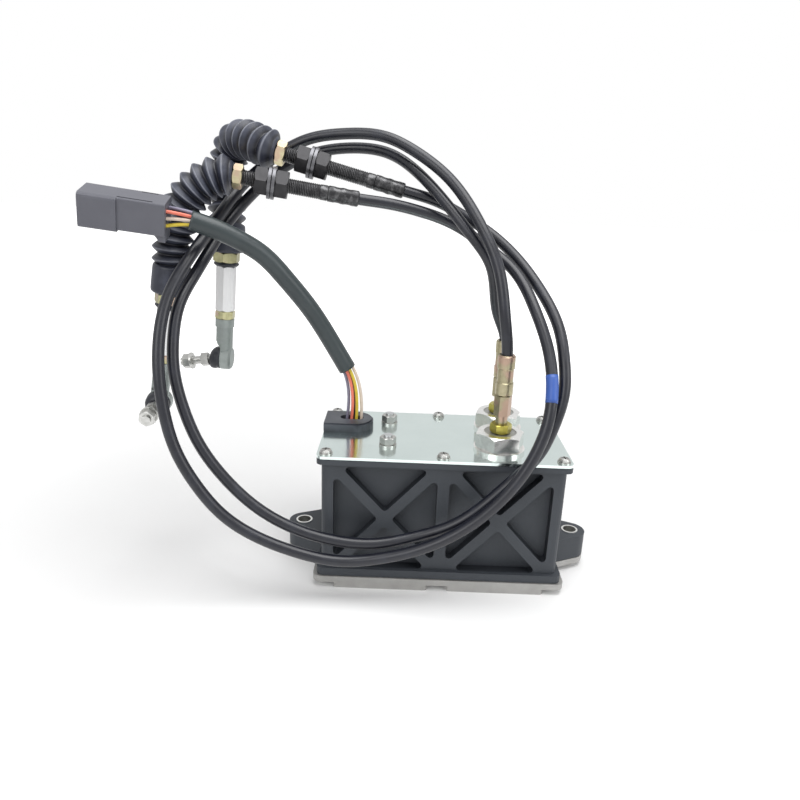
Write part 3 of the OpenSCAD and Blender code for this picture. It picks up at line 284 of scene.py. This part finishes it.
def skin(name, grid, material, body, ends=True):
    """Makes a piece of a grid [ring, around]: quads between neighbours, closed round, with a flat
    face on each end, or with no ends and the first and last rings made one. Its map has u once
    round, and v in metres along the rings."""
    rings, around = grid.shape[:2]
    i, j = np.meshgrid(np.arange(rings - 1), np.arange(around), indexing="ij")
    k = (j + 1) % around
    quads = np.stack([i * around + j, i * around + k, (i + 1) * around + k, (i + 1) * around + j], -1)
    faces = quads.reshape(-1, 4).tolist()
    centre = grid.mean(axis=1)
    run = np.r_[0, np.cumsum(np.linalg.norm(np.diff(centre, axis=0), axis=1))]
    u = np.stack([j, j + 1, j + 1, j], -1).reshape(-1) / around
    v = np.stack([run[i], run[i], run[i + 1], run[i + 1]], -1).reshape(-1)
    if ends:
        faces += [list(range(around))[::-1], list(range((rings - 1) * around, rings * around))]
        u = np.r_[u, np.zeros(2 * around)]
        v = np.r_[v, np.zeros(around), np.full(around, run[-1])]
    mesh = bpy.data.meshes.new(name)
    mesh.from_pydata(grid.reshape(-1, 3).tolist(), [], faces)
    own_map = mesh.uv_layers.new(name="UVMap")
    own_map.data.foreach_set("uv", np.stack([u, v], -1).ravel().astype(np.float32))
    smooth = np.ones(len(faces), bool)
    if ends:
        smooth[-2:] = False
    mesh.polygons.foreach_set("use_smooth", smooth)
    mesh.materials.append(material)
    mesh.update()
    shell = bmesh.new()
    shell.from_mesh(mesh)
    if not ends:
        bmesh.ops.remove_doubles(shell, verts=shell.verts, dist=1e-7)
    bmesh.ops.recalc_face_normals(shell, faces=shell.faces)
    shell.to_mesh(mesh)
    shell.free()
    piece = bpy.data.objects.new(name, mesh)
    bpy.context.scene.collection.objects.link(piece)
    if body:
        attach(piece, body)
    return piece


winding_pitch = 3.5 * mm


def sheath_finish():
    """Glossy black plastic, faintly rippled by the winding under it, with a few dull patches."""
    f = Finish("black sheath")
    _, along = f.across()
    dull = f.noise(0.012, 3).step(0.45, 0.75)
    winding = (along * (2 * pi / winding_pitch)).sin()
    height = f.noise(0.004, 2) * 0.7 + winding * 0.1
    return f.coat(f.blend(dull, (0.008, 0.009, 0.015), (0.014, 0.016, 0.025)), 0.31 + dull * 0.08, 0.0,
                  f.relief(height, 0.00004, 0.3), specular=0.55)


# The routes' points in millimetres, from inside each ferrule on the box to inside its hub.
route_a = [(38, -21, 153.2), (38, -21, 166), (35, -20, 188), (29, -11, 220), (17, 1, 245), (-4, 19, 273),
           (-28, 31, 290), (-50, 42, 299), (-77, 50, 300), (-104, 52, 295), (-128, 49, 281),
           (-146, 35, 263), (-159, 16, 242), (-169, -8, 222), (-180, -25, 199), (-184, -38, 175),
           (-180, -52, 127), (-173, -56, 103), (-160, -60, 81), (-142, -62, 60), (-120, -63, 46),
           (-94, -63, 36), (-67, -63, 31), (-41, -63, 34), (-16, -64, 42), (7, -64, 54), (43, -63, 90),
           (55, -60, 111), (62, -55, 132), (64, -45, 154), (62, -33, 172), (54, -16, 195), (42, 6, 216),
           (25, 21, 229), (4, 26, 242), (-21, 23, 251), (-46, 20, 256), (-65, 17.9, 258.1),
           (-75.6, 16.6, 259.7)]
route_b = [(42, 21, 153.2), (42, 21, 166), (35, 17, 184), (25, 5, 221), (11, 8, 239), (-6, 18, 258),
           (-26, 33, 277), (-48, 49, 289), (-75, 58, 291), (-98, 60, 287), (-121, 58, 276),
           (-140, 47, 259), (-153, 27, 241), (-170, -7, 206), (-176, -21, 190), (-178, -30, 172),
           (-177, -37, 151), (-171, -42, 127), (-161, -46, 104), (-145, -49, 82), (-122, -53, 62),
           (-97, -55, 49), (-70, -56, 42), (-43, -56, 41), (-18, -54, 46), (7, -54, 56), (43, -52, 88),
           (59, -51, 107), (68, -48, 128), (73, -42, 147), (73, -34, 164), (70, -20, 184), (60, -2, 204),
           (46, 17, 222), (27, 30, 238), (8, 35, 249), (-14, 31, 259), (-33, 30, 263.8),
           (-45.4, 29.6, 266.9)]
sheath = sheath_finish()
sheath_radius = 3.8 * mm
ring_step = 2.2 * mm
path_a = spline(np.array(route_a) * mm, ring_step)
path_b = spline(np.array(route_b) * mm, ring_step)
conduit_a = skin("conduit_front", swept(path_a, sheath_radius), sheath, "box")
conduit_b = skin("conduit_back", swept(path_b, sheath_radius), sheath, "box")
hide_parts("conduit_a")
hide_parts("conduit_b")

# A strip of blue plastic tape wound once round the front conduit, to mark it.
tape = Finish("blue tape")
tape_cloud = tape.noise(0.006, 2)
tape.coat(tape.blend(tape_cloud, (0.030, 0.085, 0.34), (0.046, 0.118, 0.42)), 0.40, 0.0,
          tape.relief(tape_cloud, 0.0001, 0.5))
tape_middle = np.array((64.2, -46, 149)) * mm
nearest = np.linalg.norm(path_a - tape_middle, axis=1).argmin()
taped = path_a[nearest - 4:nearest + 5]
tape_radius = 4.0 * mm
tape_ring = skin("blue_tape", swept(taped, tape_radius, 36), tape.material, "box")


# Hubs: black-oxide steel bulkhead tubes with a fine thread, crimped onto the conduits.
# Two nuts clamp two zinc washers on each, and a small yellow nut holds the boot.
def turned(start, end, along, radius):
    """A turned piece: point [i, j] lies along[i] from start towards end, radius[i, j] off that
    line, at the angle 2 pi j / around."""
    around = radius.shape[1]
    axis = (end - start) / np.linalg.norm(end - start)
    u = np.cross(axis, (0.21, 0.13, 0.97))
    u /= np.linalg.norm(u)
    v = np.cross(axis, u)
    angle = np.arange(around)[:, None] * 2 * pi / around
    ring = np.cos(angle) * u + np.sin(angle) * v
    return start + along[:, None, None] * axis + radius[..., None] * ring


thread_crest = 5 * mm
thread_pitch = 1.25 * mm
thread_depth = 0.55 * mm
plain_at_boot = 3 * mm
plain_at_ferrule = 4 * mm
hub_around = 40


def threaded(along, first, last):
    """Radius of a thread: its crest, less its depth at the bottom of a triangle wave that climbs
    one pitch a turn, between first and last along the piece, and plain outside them."""
    turn = np.arange(hub_around) / hub_around
    phase = (along[:, None] / thread_pitch - turn) % 1
    wave = 1 - np.abs(2 * phase - 1)
    started = np.clip((along - first) / thread_pitch, 0, 1)
    ended = np.clip((last - along) / thread_pitch, 0, 1)
    return thread_crest - thread_depth * (1 - wave) * (started * ended)[:, None]


crimp_from = 60.5 * mm


def oxide_finish():
    """Black-oxide steel, rubbed grey in a line along the thread's crest. On the crimped end it
    is grey in patches instead."""
    f = Finish("black oxide")
    turn, along = f.across()
    crest = 1 - abs((along / thread_pitch - turn).part() - 0.5).step(0.10, 0.30)
    ferrule = (along - crimp_from).step(0.0, 0.002)
    patch = f.noise(0.004, 3).step(0.42, 0.72)
    worn = (crest * 0.5 * (1 - ferrule) + patch * (0.12 + ferrule * 0.35) + ferrule * 0.12).least(1.0)
    return f.coat(f.blend(worn, (0.008, 0.008, 0.010), (0.20, 0.20, 0.205)), 0.38 - worn * 0.1, 0.6,
                  f.relief(f.noise(0.0012, 2), 0.00004, 0.4))


ferrule_length = 21 * mm
ferrule_radius = 5.2 * mm
ferrule_mouth = 3.82 * mm
band_depth = 0.3 * mm
bevel = 0.7 * mm


def crimped(name, start, end):
    """A hub: a thread, then a ferrule. Two bands are pressed into it a third and two thirds of the
    way along, as steep-sided dips of its radius; both its edges slope, and six faint flats run
    between them."""
    start, end = np.array(start) * mm, np.array(end) * mm
    tube = np.linalg.norm(end - start) - ferrule_length
    along = np.arange(0, tube, 0.14 * mm)
    s = np.linspace(0, ferrule_length, 90)
    t = s / ferrule_length
    bands = np.exp(-((t - 0.33) / 0.1) ** 4) + np.exp(-((t - 0.66) / 0.1) ** 4)
    edges = 2 - np.clip(s / bevel, 0, 1) - np.clip((ferrule_length - s) / bevel, 0, 1)
    outer = ferrule_radius - band_depth * bands - bevel * edges
    turn = np.arange(hub_around) / hub_around
    flats = 1 - 0.02 * np.cos(6 * 2 * pi * turn) * np.exp(-((t[:, None] - 0.5) / 0.3) ** 4)
    thread = threaded(along, plain_at_boot, tube - plain_at_ferrule)
    mouth = np.full((1, hub_around), ferrule_mouth)
    radius = np.vstack([thread, outer[:, None] * flats, mouth])
    along = np.r_[along, tube + s, tube + ferrule_length]
    return skin(name, turned(start, end, along, radius), oxide, "box")


# Each hub's axis, from its boot to the mouth of its ferrule, in millimetres.
axis_a = (-145, 8, 270), (-64, 18, 258)
axis_b = (-120, 27, 286), (-34, 30, 264)
oxide = oxide_finish()
hub_front = crimped("hub_front", *axis_a)
hub_back = crimped("hub_back", *axis_b)
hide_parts("hub_a")
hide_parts("hub_b")


def dressed(names, material):
    """Gives CAD nodes whose shape is right a material of this scene."""
    for name in names:
        mesh = nodes[name].data
        mesh.materials.clear()
        mesh.materials.append(material)


def metal_finish(name, light, dark, rough, wear=0.3, tint=None, tint_size=0.01):
    """Plated or bare metal: cloudy between two colours, brighter where its edges are rubbed, and
    with patches of a third colour where tint is given."""
    f = Finish(name)
    cloud = f.noise(0.003, 3)
    edge = f.node("ShaderNodeNewGeometry", out="Pointiness").step(0.51, 0.58) * wear
    colour = f.blend((cloud + edge).least(1.0), dark, light)
    if tint:
        colour = f.blend(f.noise(tint_size, 1).step(0.48, 0.66), colour, tint)
    return f.coat(colour, rough + cloud * 0.1, 1.0, f.relief(f.noise(0.00075, 2), 0.00003, 0.5))


nut_black = Finish("nut black")
nut_cloud = nut_black.noise(0.005, 2)
nut_black.coat(nut_black.blend(nut_cloud, (0.010, 0.010, 0.012), (0.045, 0.044, 0.047)),
               0.30 + nut_cloud * 0.1, 0.45,
               nut_black.relief(nut_black.noise(0.0015, 2), 0.00003, 0.3))
dressed(["hub_nuts"], nut_black.material)
grey_zinc = metal_finish("grey zinc", (0.17, 0.17, 0.18), (0.07, 0.07, 0.08), 0.34)
dressed(["hub_washers"], grey_zinc)
pale_zinc = metal_finish("pale yellow zinc", (0.70, 0.63, 0.42), (0.44, 0.37, 0.18), 0.26,
                         tint=(0.62, 0.47, 0.34), tint_size=0.008)
dressed(["boot_nuts"], pale_zinc)


# Boots: black rubber bellows pulled over the end of each hub, which seal the pushing rod.
# Thin-lipped folds run round a bend to a plain cuff that grips the rod's end nut.
def bezier(corners, t):
    """A cubic curve from the first corner to the last, drawn towards the two between them."""
    a, b, c, d = np.asarray(corners, float)
    t = t[:, None]
    return (1 - t) ** 3 * a + 3 * (1 - t) ** 2 * t * b + 3 * (1 - t) * t ** 2 * c + t ** 3 * d


def bellows_rubber(name, first, fold, last):
    """Moulded rubber with a painted highlight along each lip and painted shade down each valley, and a
    bloom in patches.
    """
    f = Finish(name)
    _, along = f.across()
    from_lip = abs(((along - first) / fold).part() - 0.5)
    folded = (along > first) * (along < last)
    bloom = f.noise(0.011, 3).step(0.38, 0.75)
    # Painted highlight along each lip and painted shade down each valley.
    edge_highlight = (1 - from_lip.step(0.03, 0.10)) * folded
    valley_shade = from_lip.step(0.22, 0.42) * folded
    side = f.blend(bloom, (0.020, 0.023, 0.038), (0.048, 0.054, 0.080))
    shaded = f.blend(valley_shade * 0.85, side, (0.006, 0.006, 0.010))
    base = f.blend(edge_highlight * (0.45 + bloom * 0.5), shaded, (0.20, 0.21, 0.25))
    return f.coat(base, 0.38 + bloom * 0.14, 0.0, f.relief(f.noise(0.0008, 2), 0.00003, 0.6))


# The boots' sizes, in millimetres.
fold_length = 7
valley_radius = 9.6
lip_height = 3.65
neck_radius = 8.0
neck_length = 1.2
cuff_radius = 12.72
cuff_length = 20


def boot_skin(name, axis, reach, bend, base, lean):
    """A bellows: a neck on the hub, then folds along a cubic curve, each a triangle wave of the
    radius with its lip rounded, then a straight cuff with rounded rims, from top to base, that
    leans off the vertical. Returns its piece, and the cuff's top."""
    hub_from, hub_to, bend, base = (np.array(p, float) for p in (*axis, bend, base))
    up = np.array((np.sin(np.radians(lean)), 0, np.cos(np.radians(lean))))
    top = base + cuff_length * up
    out = (hub_from - hub_to) / np.linalg.norm(hub_from - hub_to)
    corners = [hub_from + 0.3 * out, hub_from + reach * out, bend, top]
    fine = bezier(corners, np.linspace(0, 1, 400))
    run = np.r_[0, np.cumsum(np.linalg.norm(np.diff(fine, axis=0), axis=1))]
    total = run[-1]
    fold = (total - neck_length) / round((total - neck_length) / fold_length)
    s = np.arange(0, total + cuff_length, fold / 24)
    curve = np.stack([np.interp(s, run, fine[:, k]) for k in range(3)], 1)
    straight = s > total
    curve[straight] = top - (s[straight] - total)[:, None] * up
    wave = 1 - np.abs(2 * (((s - neck_length) / fold) % 1) - 1)
    bellows = valley_radius + lip_height * np.clip((wave - 0.08) / 0.86, 0, 1) ** 0.85
    to_end = np.clip(total + cuff_length - s, 0, None)
    cuff = cuff_radius - 1.9 * np.exp(-(s - total) / 0.8) - 1.5 * np.exp(-to_end / 0.7)
    neck = neck_radius + 1.3 * s
    radius = np.where(s < neck_length, neck, np.where(straight, cuff, bellows))
    rubber = bellows_rubber(name.replace("_", " ") + " rubber", neck_length * mm, fold * mm, total * mm)
    piece = skin(name, swept(curve * mm, radius * mm, 60), rubber, None)
    return piece, top * mm


def rubber_finish():
    """Plain black rubber with a painted highlight along its edges, and a bloom in patches."""
    f = Finish("black rubber")
    # Painted highlight along the convex edges.
    edge_highlight = f.node("ShaderNodeNewGeometry", out="Pointiness").step(0.53, 0.66)
    bloom = f.noise(0.009, 3).step(0.42, 0.8)
    mask = (edge_highlight * 0.75 + bloom * 0.22).least(1.0)
    return f.coat(f.blend(mask, (0.012, 0.014, 0.021), (0.10, 0.11, 0.13)), 0.42 + bloom * 0.12, 0.0,
                  f.relief(f.noise(0.0008, 2), 0.00003, 0.6))


rubber = rubber_finish()
boot_front, top_a = boot_skin("boot_front", axis_a, reach=12.1, bend=(-186.2, 5.7, 261.2),
                              base=(-191.4, 7, 192.1), lean=9.5)
boot_back, top_b = boot_skin("boot_back", axis_b, reach=18.6, bend=(-167.3, 71.7, 315.6),
                             base=(-160.9, 45, 217.1), lean=4)
# The rods slide along these lines. The last 45 mm of folds take up the stroke.
down_a = np.array((-0.165048, 0, -0.986286))
down_b = np.array((-0.069756, 0, -0.997564))
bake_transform(boot_front)
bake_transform(boot_back)
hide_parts("boot_a")
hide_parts("boot_b")


# Rod ends: between two yellow-zinc nuts a rubber ring and a hexagon of bright drawn aluminium
# that sets the length, then a ball joint of dull zinc-plated steel with a rubber cap and a
# threaded stud.
green_zinc = metal_finish("yellow-green zinc", (0.50, 0.48, 0.28), (0.20, 0.19, 0.10), 0.24,
                          tint=(0.50, 0.38, 0.31), tint_size=0.009)
dressed(["end_nut_a", "end_nut_b", "lock_nut_a", "lock_nut_b"], green_zinc)
drawn = Finish("drawn aluminium")
lengthways = drawn.node("ShaderNodeMapping", None, {
    "Vector": drawn.place(), "Scale": (1.0, 1.0, 0.05)})
drawn_lines = drawn.node("ShaderNodeTexNoise", None, {
    "Vector": lengthways, "Scale": 2500.0, "Detail": 2.0})
drawn.coat(drawn.blend(drawn_lines, (0.60, 0.60, 0.61), (0.76, 0.76, 0.76)),
           0.30 + drawn_lines * 0.06, 0.9, drawn.relief(drawn_lines, 0.00002, 0.4))
dressed(["adjuster_a", "adjuster_b"], drawn.material)
joint_grey = metal_finish("joint grey", (0.34, 0.37, 0.36), (0.25, 0.28, 0.27), 0.46, wear=0.35)
dressed(["ball_socket_a", "ball_socket_b"], joint_grey)
stud_zinc = metal_finish("stud zinc", (0.60, 0.60, 0.58), (0.30, 0.30, 0.29), 0.26)
dressed(["ball_stud_a", "ball_stud_b", "stud_nut_a", "stud_nut_b", "rod_a", "rod_b"], stud_zinc)
dressed(["ring_a", "ring_b"], rubber)

# A soft rubber cap closes each ball joint. It grips the socket's face and the stud's neck, and
# bends between them as the stud tilts. The outlines are radius and way out from the face.
cap_outside = [(4.2, 0), (8.0, 0), (8.2, 0.15), (8.6, 1), (8.0, 2.2), (8.4, 3.2), (8.3, 4.2),
               (8.0, 5.2), (7.5, 6.3), (6.8, 7.2), (6.0, 7.8), (5.0, 8.2), (2.9, 8.3)]
cap_inside = [(2.4, 7.9), (2.3, 7.3), (2.6, 6.4), (4.2, 5.4), (5.4, 4.0), (5.7, 2.4), (5.6, 1.0),
              (4.6, 0.15)]
cap_length = 8.2
socket_face = 1.9
bend_from, bend_to = 2.4, 9.4


def dust_cap(name, ball, face, down, droop):
    """A closed shell turned about the joint's axis: ring k has the k-th radius of the two
    outlines, outer then inner, and its middle slides from the socket's axis to the stud's as it
    goes out. Returns its piece, and the two ends of the stretch that bends."""
    ball, face = np.array(ball), np.array(face)
    stud = np.cos(np.radians(droop)) * face + np.sin(np.radians(droop)) * down
    radius, out = np.array(cap_outside + cap_inside + cap_outside[:1]).T
    share = np.clip(out / cap_length, 0, 1)[:, None]
    middle = ball + (socket_face + out)[:, None] * ((1 - share) * face + share * stud)
    angle = np.arange(40)[:, None] * 2 * pi / 40
    ring = np.cos(angle) * np.cross(face, down) + np.sin(angle) * down
    grid = middle[:, None] + radius[:, None, None] * ring
    piece = skin(name, grid * mm, rubber, None, ends=False)
    return piece, (ball + bend_from * face) * mm, (ball + bend_to * face) * mm


cap_front, foot, tip = dust_cap("dust_cap_front", (-204.571, 7, 113.394),
                                (0.068799, -0.997564, -0.011513), down_a, droop=4)
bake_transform(cap_front)
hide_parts("dust_boot_a")
cap_back, foot, tip = dust_cap("dust_cap_back", (-166.467, 45, 137.494),
                               (-0.997564, 0, 0.069756), down_b, droop=12)
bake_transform(cap_back)
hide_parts("dust_boot_b")


# Harness: five insulated wires from the grommet to the plug, the middle of them in a dull
# grey-green sleeve. The plug is a grey plastic shell with a hood round its pins.
sleeve_route = np.array([(-70, 15, 141), (-82, 13, 162), (-95, 8, 184), (-111, 1, 206),
                         (-125, -5, 222), (-138, -11, 231), (-152, -16, 238), (-166, -20, 243)]) * mm
sleeve_radius = 6.25 * mm


def sleeve_finish():
    """Soft grey-green plastic with long shallow creases."""
    f = Finish("sleeve plastic")
    cloud = f.noise(0.014, 2)
    return f.coat(f.blend(cloud, (0.020, 0.029, 0.032), (0.038, 0.050, 0.053)), 0.31 + cloud * 0.1, 0.0,
                  f.relief(cloud * 0.7 + f.noise(0.003, 2) * 0.3, 0.0006, 0.6))


sleeve_path = spline(sleeve_route, 1.6 * mm)
sleeve = skin("harness_sleeve_skin", swept(sleeve_path, sleeve_radius, 40), sleeve_finish(), "box")
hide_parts("harness_sleeve")


def insulation(name, colour):
    """Wire insulation: one colour, slightly mottled and waxy."""
    f = Finish(name)
    cloud = f.noise(0.004, 2)
    pale = tuple(min(1, c * 1.25 + 0.02) for c in colour)
    return f.coat(f.blend(cloud, colour, pale), 0.35 + cloud * 0.08, 0.0,
                  f.relief(f.noise(0.001, 2), 0.00002, 0.5))


# The middle of the plug's wire end, and its own directions: to its mouth, to its side and up.
plug_back = np.array((-179.5, -21, 244.3)) * mm
plug_way = np.array((-0.98154, -0.14393, 0.12594))
plug_side = np.array((0.11334, -0.96817, -0.22316))
plug_up = np.array((0.15405, -0.20477, 0.96661))
grommet = np.array((-66, 15, 88))
wire_radius = 1.1 * mm
wire_seat = 3
# Each wire's place across the grommet and across the sleeve's upper end, and its seat in the
# plug, all in millimetres, and its colour.
for name, low, high, plugged, colour in (
        ("wire_violet", (-4, 0), (0.8, 4.5), (-4.5, 5), (0.20, 0.19, 0.26)),
        ("wire_orange", (-1.4, -1.8), (-1, 2.1), (4.5, 5), (0.72, 0.17, 0.11)),
        ("wire_yellow", (1.3, -1.8), (-1, -2.9), (4.5, -5), (0.58, 0.44, 0.03)),
        ("wire_pale", (4, 0), (-1.2, -0.4), (4.5, 0), (0.62, 0.52, 0.44)),
        ("wire_black", (0, 2.5), (1.2, -5), (-4.5, -5), (0.03, 0.03, 0.035))):
    # Inside the sleeve the wire's place changes evenly from one end to the other.
    inner = sleeve_path[8:-8:12]
    weight = np.linspace(0, 1, len(inner))[:, None]
    inner = inner + ((1 - weight) * np.array((*low, 0)) + weight * np.array((0, *high))) * mm
    line = np.vstack([
        (grommet + np.array((1.5 * low[0], low[1], 0))) * mm,
        sleeve_route[0] + np.array((*low, 1)) * mm, inner,
        sleeve_route[-1] + np.array((1, *high)) * mm,
        plug_back + (wire_seat * plug_way + plugged[0] * plug_side + plugged[1] * plug_up) * mm])
    line = spline(line, 1.5 * mm)
    coating = insulation(name.replace("_", " "), colour)
    wire = skin(name, swept(line, wire_radius, 14), coating, "box")
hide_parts("harness_wires")

plug_grey = Finish("plug plastic")
plug_cloud = plug_grey.noise(0.012, 2)
plug_grey.coat(plug_grey.blend(plug_cloud, (0.090, 0.092, 0.112), (0.115, 0.117, 0.138)), 0.44, 0.0,
               plug_grey.relief(plug_grey.noise(0.0009, 2), 0.00003, 0.6))
dressed(["connector_shell"], plug_grey.material)
wedge_grey = Finish("wedge plastic")
wedge_cloud = wedge_grey.noise(0.008, 2)
wedge_grey.coat(wedge_grey.blend(wedge_cloud, (0.36, 0.36, 0.37), (0.44, 0.44, 0.45)), 0.5)
dressed(["connector_wedge"], wedge_grey.material)
tinned_brass = metal_finish("tinned brass", (0.82, 0.74, 0.50), (0.60, 0.50, 0.28), 0.25)
dressed(["connector_pins"], tinned_brass)

# The two control cables carry their hubs, boots and rod ends; these lists only gather each cable's
# pieces.
end_pieces = ("rod", "end_nut", "ring", "adjuster", "lock_nut", "ball_socket", "ball_stud", "stud_nut")
ends_a = [nodes[n + "_a"] for n in end_pieces] + [cap_front]
ends_b = [nodes[n + "_b"] for n in end_pieces] + [cap_back]
shared = [nodes["hub_nuts"], nodes["hub_washers"], nodes["boot_nuts"]]
[hub_front, boot_front, tape_ring] + shared + ends_a
[hub_back, boot_back] + ends_b


# Box: a painted aluminium casting with crossed ribs, between a plate of polished sheet steel
# and a bare cast cover. Six small screws hold each of these, over thin rubber gaskets.
def casting_finish():
    """Dark slate paint over a cast skin: fine grain, faint cloud, and painted shade on the pockets'
    walls.
    """
    f = Finish("slate paint")
    x, y, z = f.axes()
    # The pockets' walls, between the pockets' floors and the ribs' faces, inside the frame round each
    # long face: painted shade darkens them.
    pocket_wall_shade = (abs(y) > 0.0353) * (abs(y) < 0.0427) * (abs(x) < 0.0745) * (z > 0.0142) * (z < 0.0905)
    cloud = f.noise(0.02, 3)
    base = f.blend(cloud, (0.034, 0.040, 0.048), (0.052, 0.058, 0.068))
    return f.coat(f.blend(pocket_wall_shade * 0.75, base, (0.010, 0.012, 0.016)), 0.50 + cloud * 0.1, 0.0,
                  f.relief(f.noise(0.0011, 3), 0.00008, 0.6), specular=0.4)


def plate_finish():
    """Polished sheet steel with a green-grey cast, slight waves and fine scuffs."""
    f = Finish("polished plate")
    cloud = f.noise(0.03, 3)
    scuff = f.noise(0.004, 4).step(0.56, 0.72)
    return f.coat(f.blend(cloud, (0.66, 0.75, 0.73), (0.77, 0.86, 0.84)), 0.15 + scuff * 0.12, 1.0,
                  f.relief(f.noise(0.03, 1), 0.0002, 0.25))


def cover_finish():
    """Bare cast aluminium: pale, dull and slightly pitted."""
    f = Finish("bare casting")
    cloud = f.noise(0.01, 3)
    return f.coat(f.blend(cloud, (0.30, 0.295, 0.285), (0.46, 0.455, 0.44)), 0.46 + cloud * 0.1, 0.6,
                  f.relief(f.noise(0.0012, 3), 0.00012, 0.6))


dressed(["housing"], casting_finish())
dressed(["top_plate"], plate_finish())
dressed(["bottom_cover"], cover_finish())
dressed(["gaskets", "wire_grommet"], rubber)
bright_zinc = metal_finish("bright zinc", (0.80, 0.80, 0.78), (0.56, 0.57, 0.55), 0.24)
dressed(["ear_bushes"], bright_zinc)
screw_zinc = metal_finish("screw zinc", (0.56, 0.56, 0.54), (0.30, 0.30, 0.29), 0.30)
dressed(["top_screws", "cover_screws", "hanger_nuts", "hanger_washers"], screw_zinc)


# Drive: inside the box a small motor turns a nylon idler and a cut steel gear, and the gear
# slides a rack with the two core rods. A frame of folded sheet steel hangs it from the plate.
dressed(["guide_rods", "core_rods", "output_shaft"], bright_zinc)
dressed(["motor_cap", "position_sensor"], rubber)
sheet_steel = metal_finish("sheet steel", (0.62, 0.63, 0.64), (0.46, 0.47, 0.48), 0.32)
dressed(["gear_frame", "gear_side_plate", "bearing_bracket", "motor_can"], sheet_steel)
cut_steel = metal_finish("cut steel", (0.52, 0.53, 0.54), (0.34, 0.35, 0.36), 0.3)
dressed(["output_gear", "rack"], cut_steel)
copper = metal_finish("copper winding", (0.72, 0.40, 0.22), (0.45, 0.22, 0.12), 0.35)
dressed(["motor_rotor"], copper)
nylon = Finish("gear nylon")
nylon_cloud = nylon.noise(0.01, 2)
nylon.coat(nylon.blend(nylon_cloud, (0.70, 0.68, 0.58), (0.80, 0.78, 0.69)), 0.45)
dressed(["idler_gear"], nylon.material)


# Glands: nickel-plated nuts clamp two cable glands through the plate. Each carries a threaded,
# crimped end of yellow-zinc steel, locked by a small nut.
gland_nickel = metal_finish("nickel plate", (0.88, 0.88, 0.86), (0.74, 0.74, 0.72), 0.20)
dressed(["gland_nuts", "gland_washers"], gland_nickel)
gland_grey = metal_finish("gland grey", (0.42, 0.42, 0.40), (0.32, 0.32, 0.30), 0.45)
dressed(["gland_bodies"], gland_grey)
yellow_zinc = metal_finish("yellow zinc", (0.52, 0.46, 0.11), (0.30, 0.26, 0.04), 0.24)
dressed(["jam_nuts"], yellow_zinc)
olive_zinc = metal_finish("olive zinc", (0.46, 0.42, 0.28), (0.24, 0.21, 0.13), 0.28,
                          tint=(0.42, 0.30, 0.23), tint_size=0.010)
dressed(["cable_ferrules"], olive_zinc)
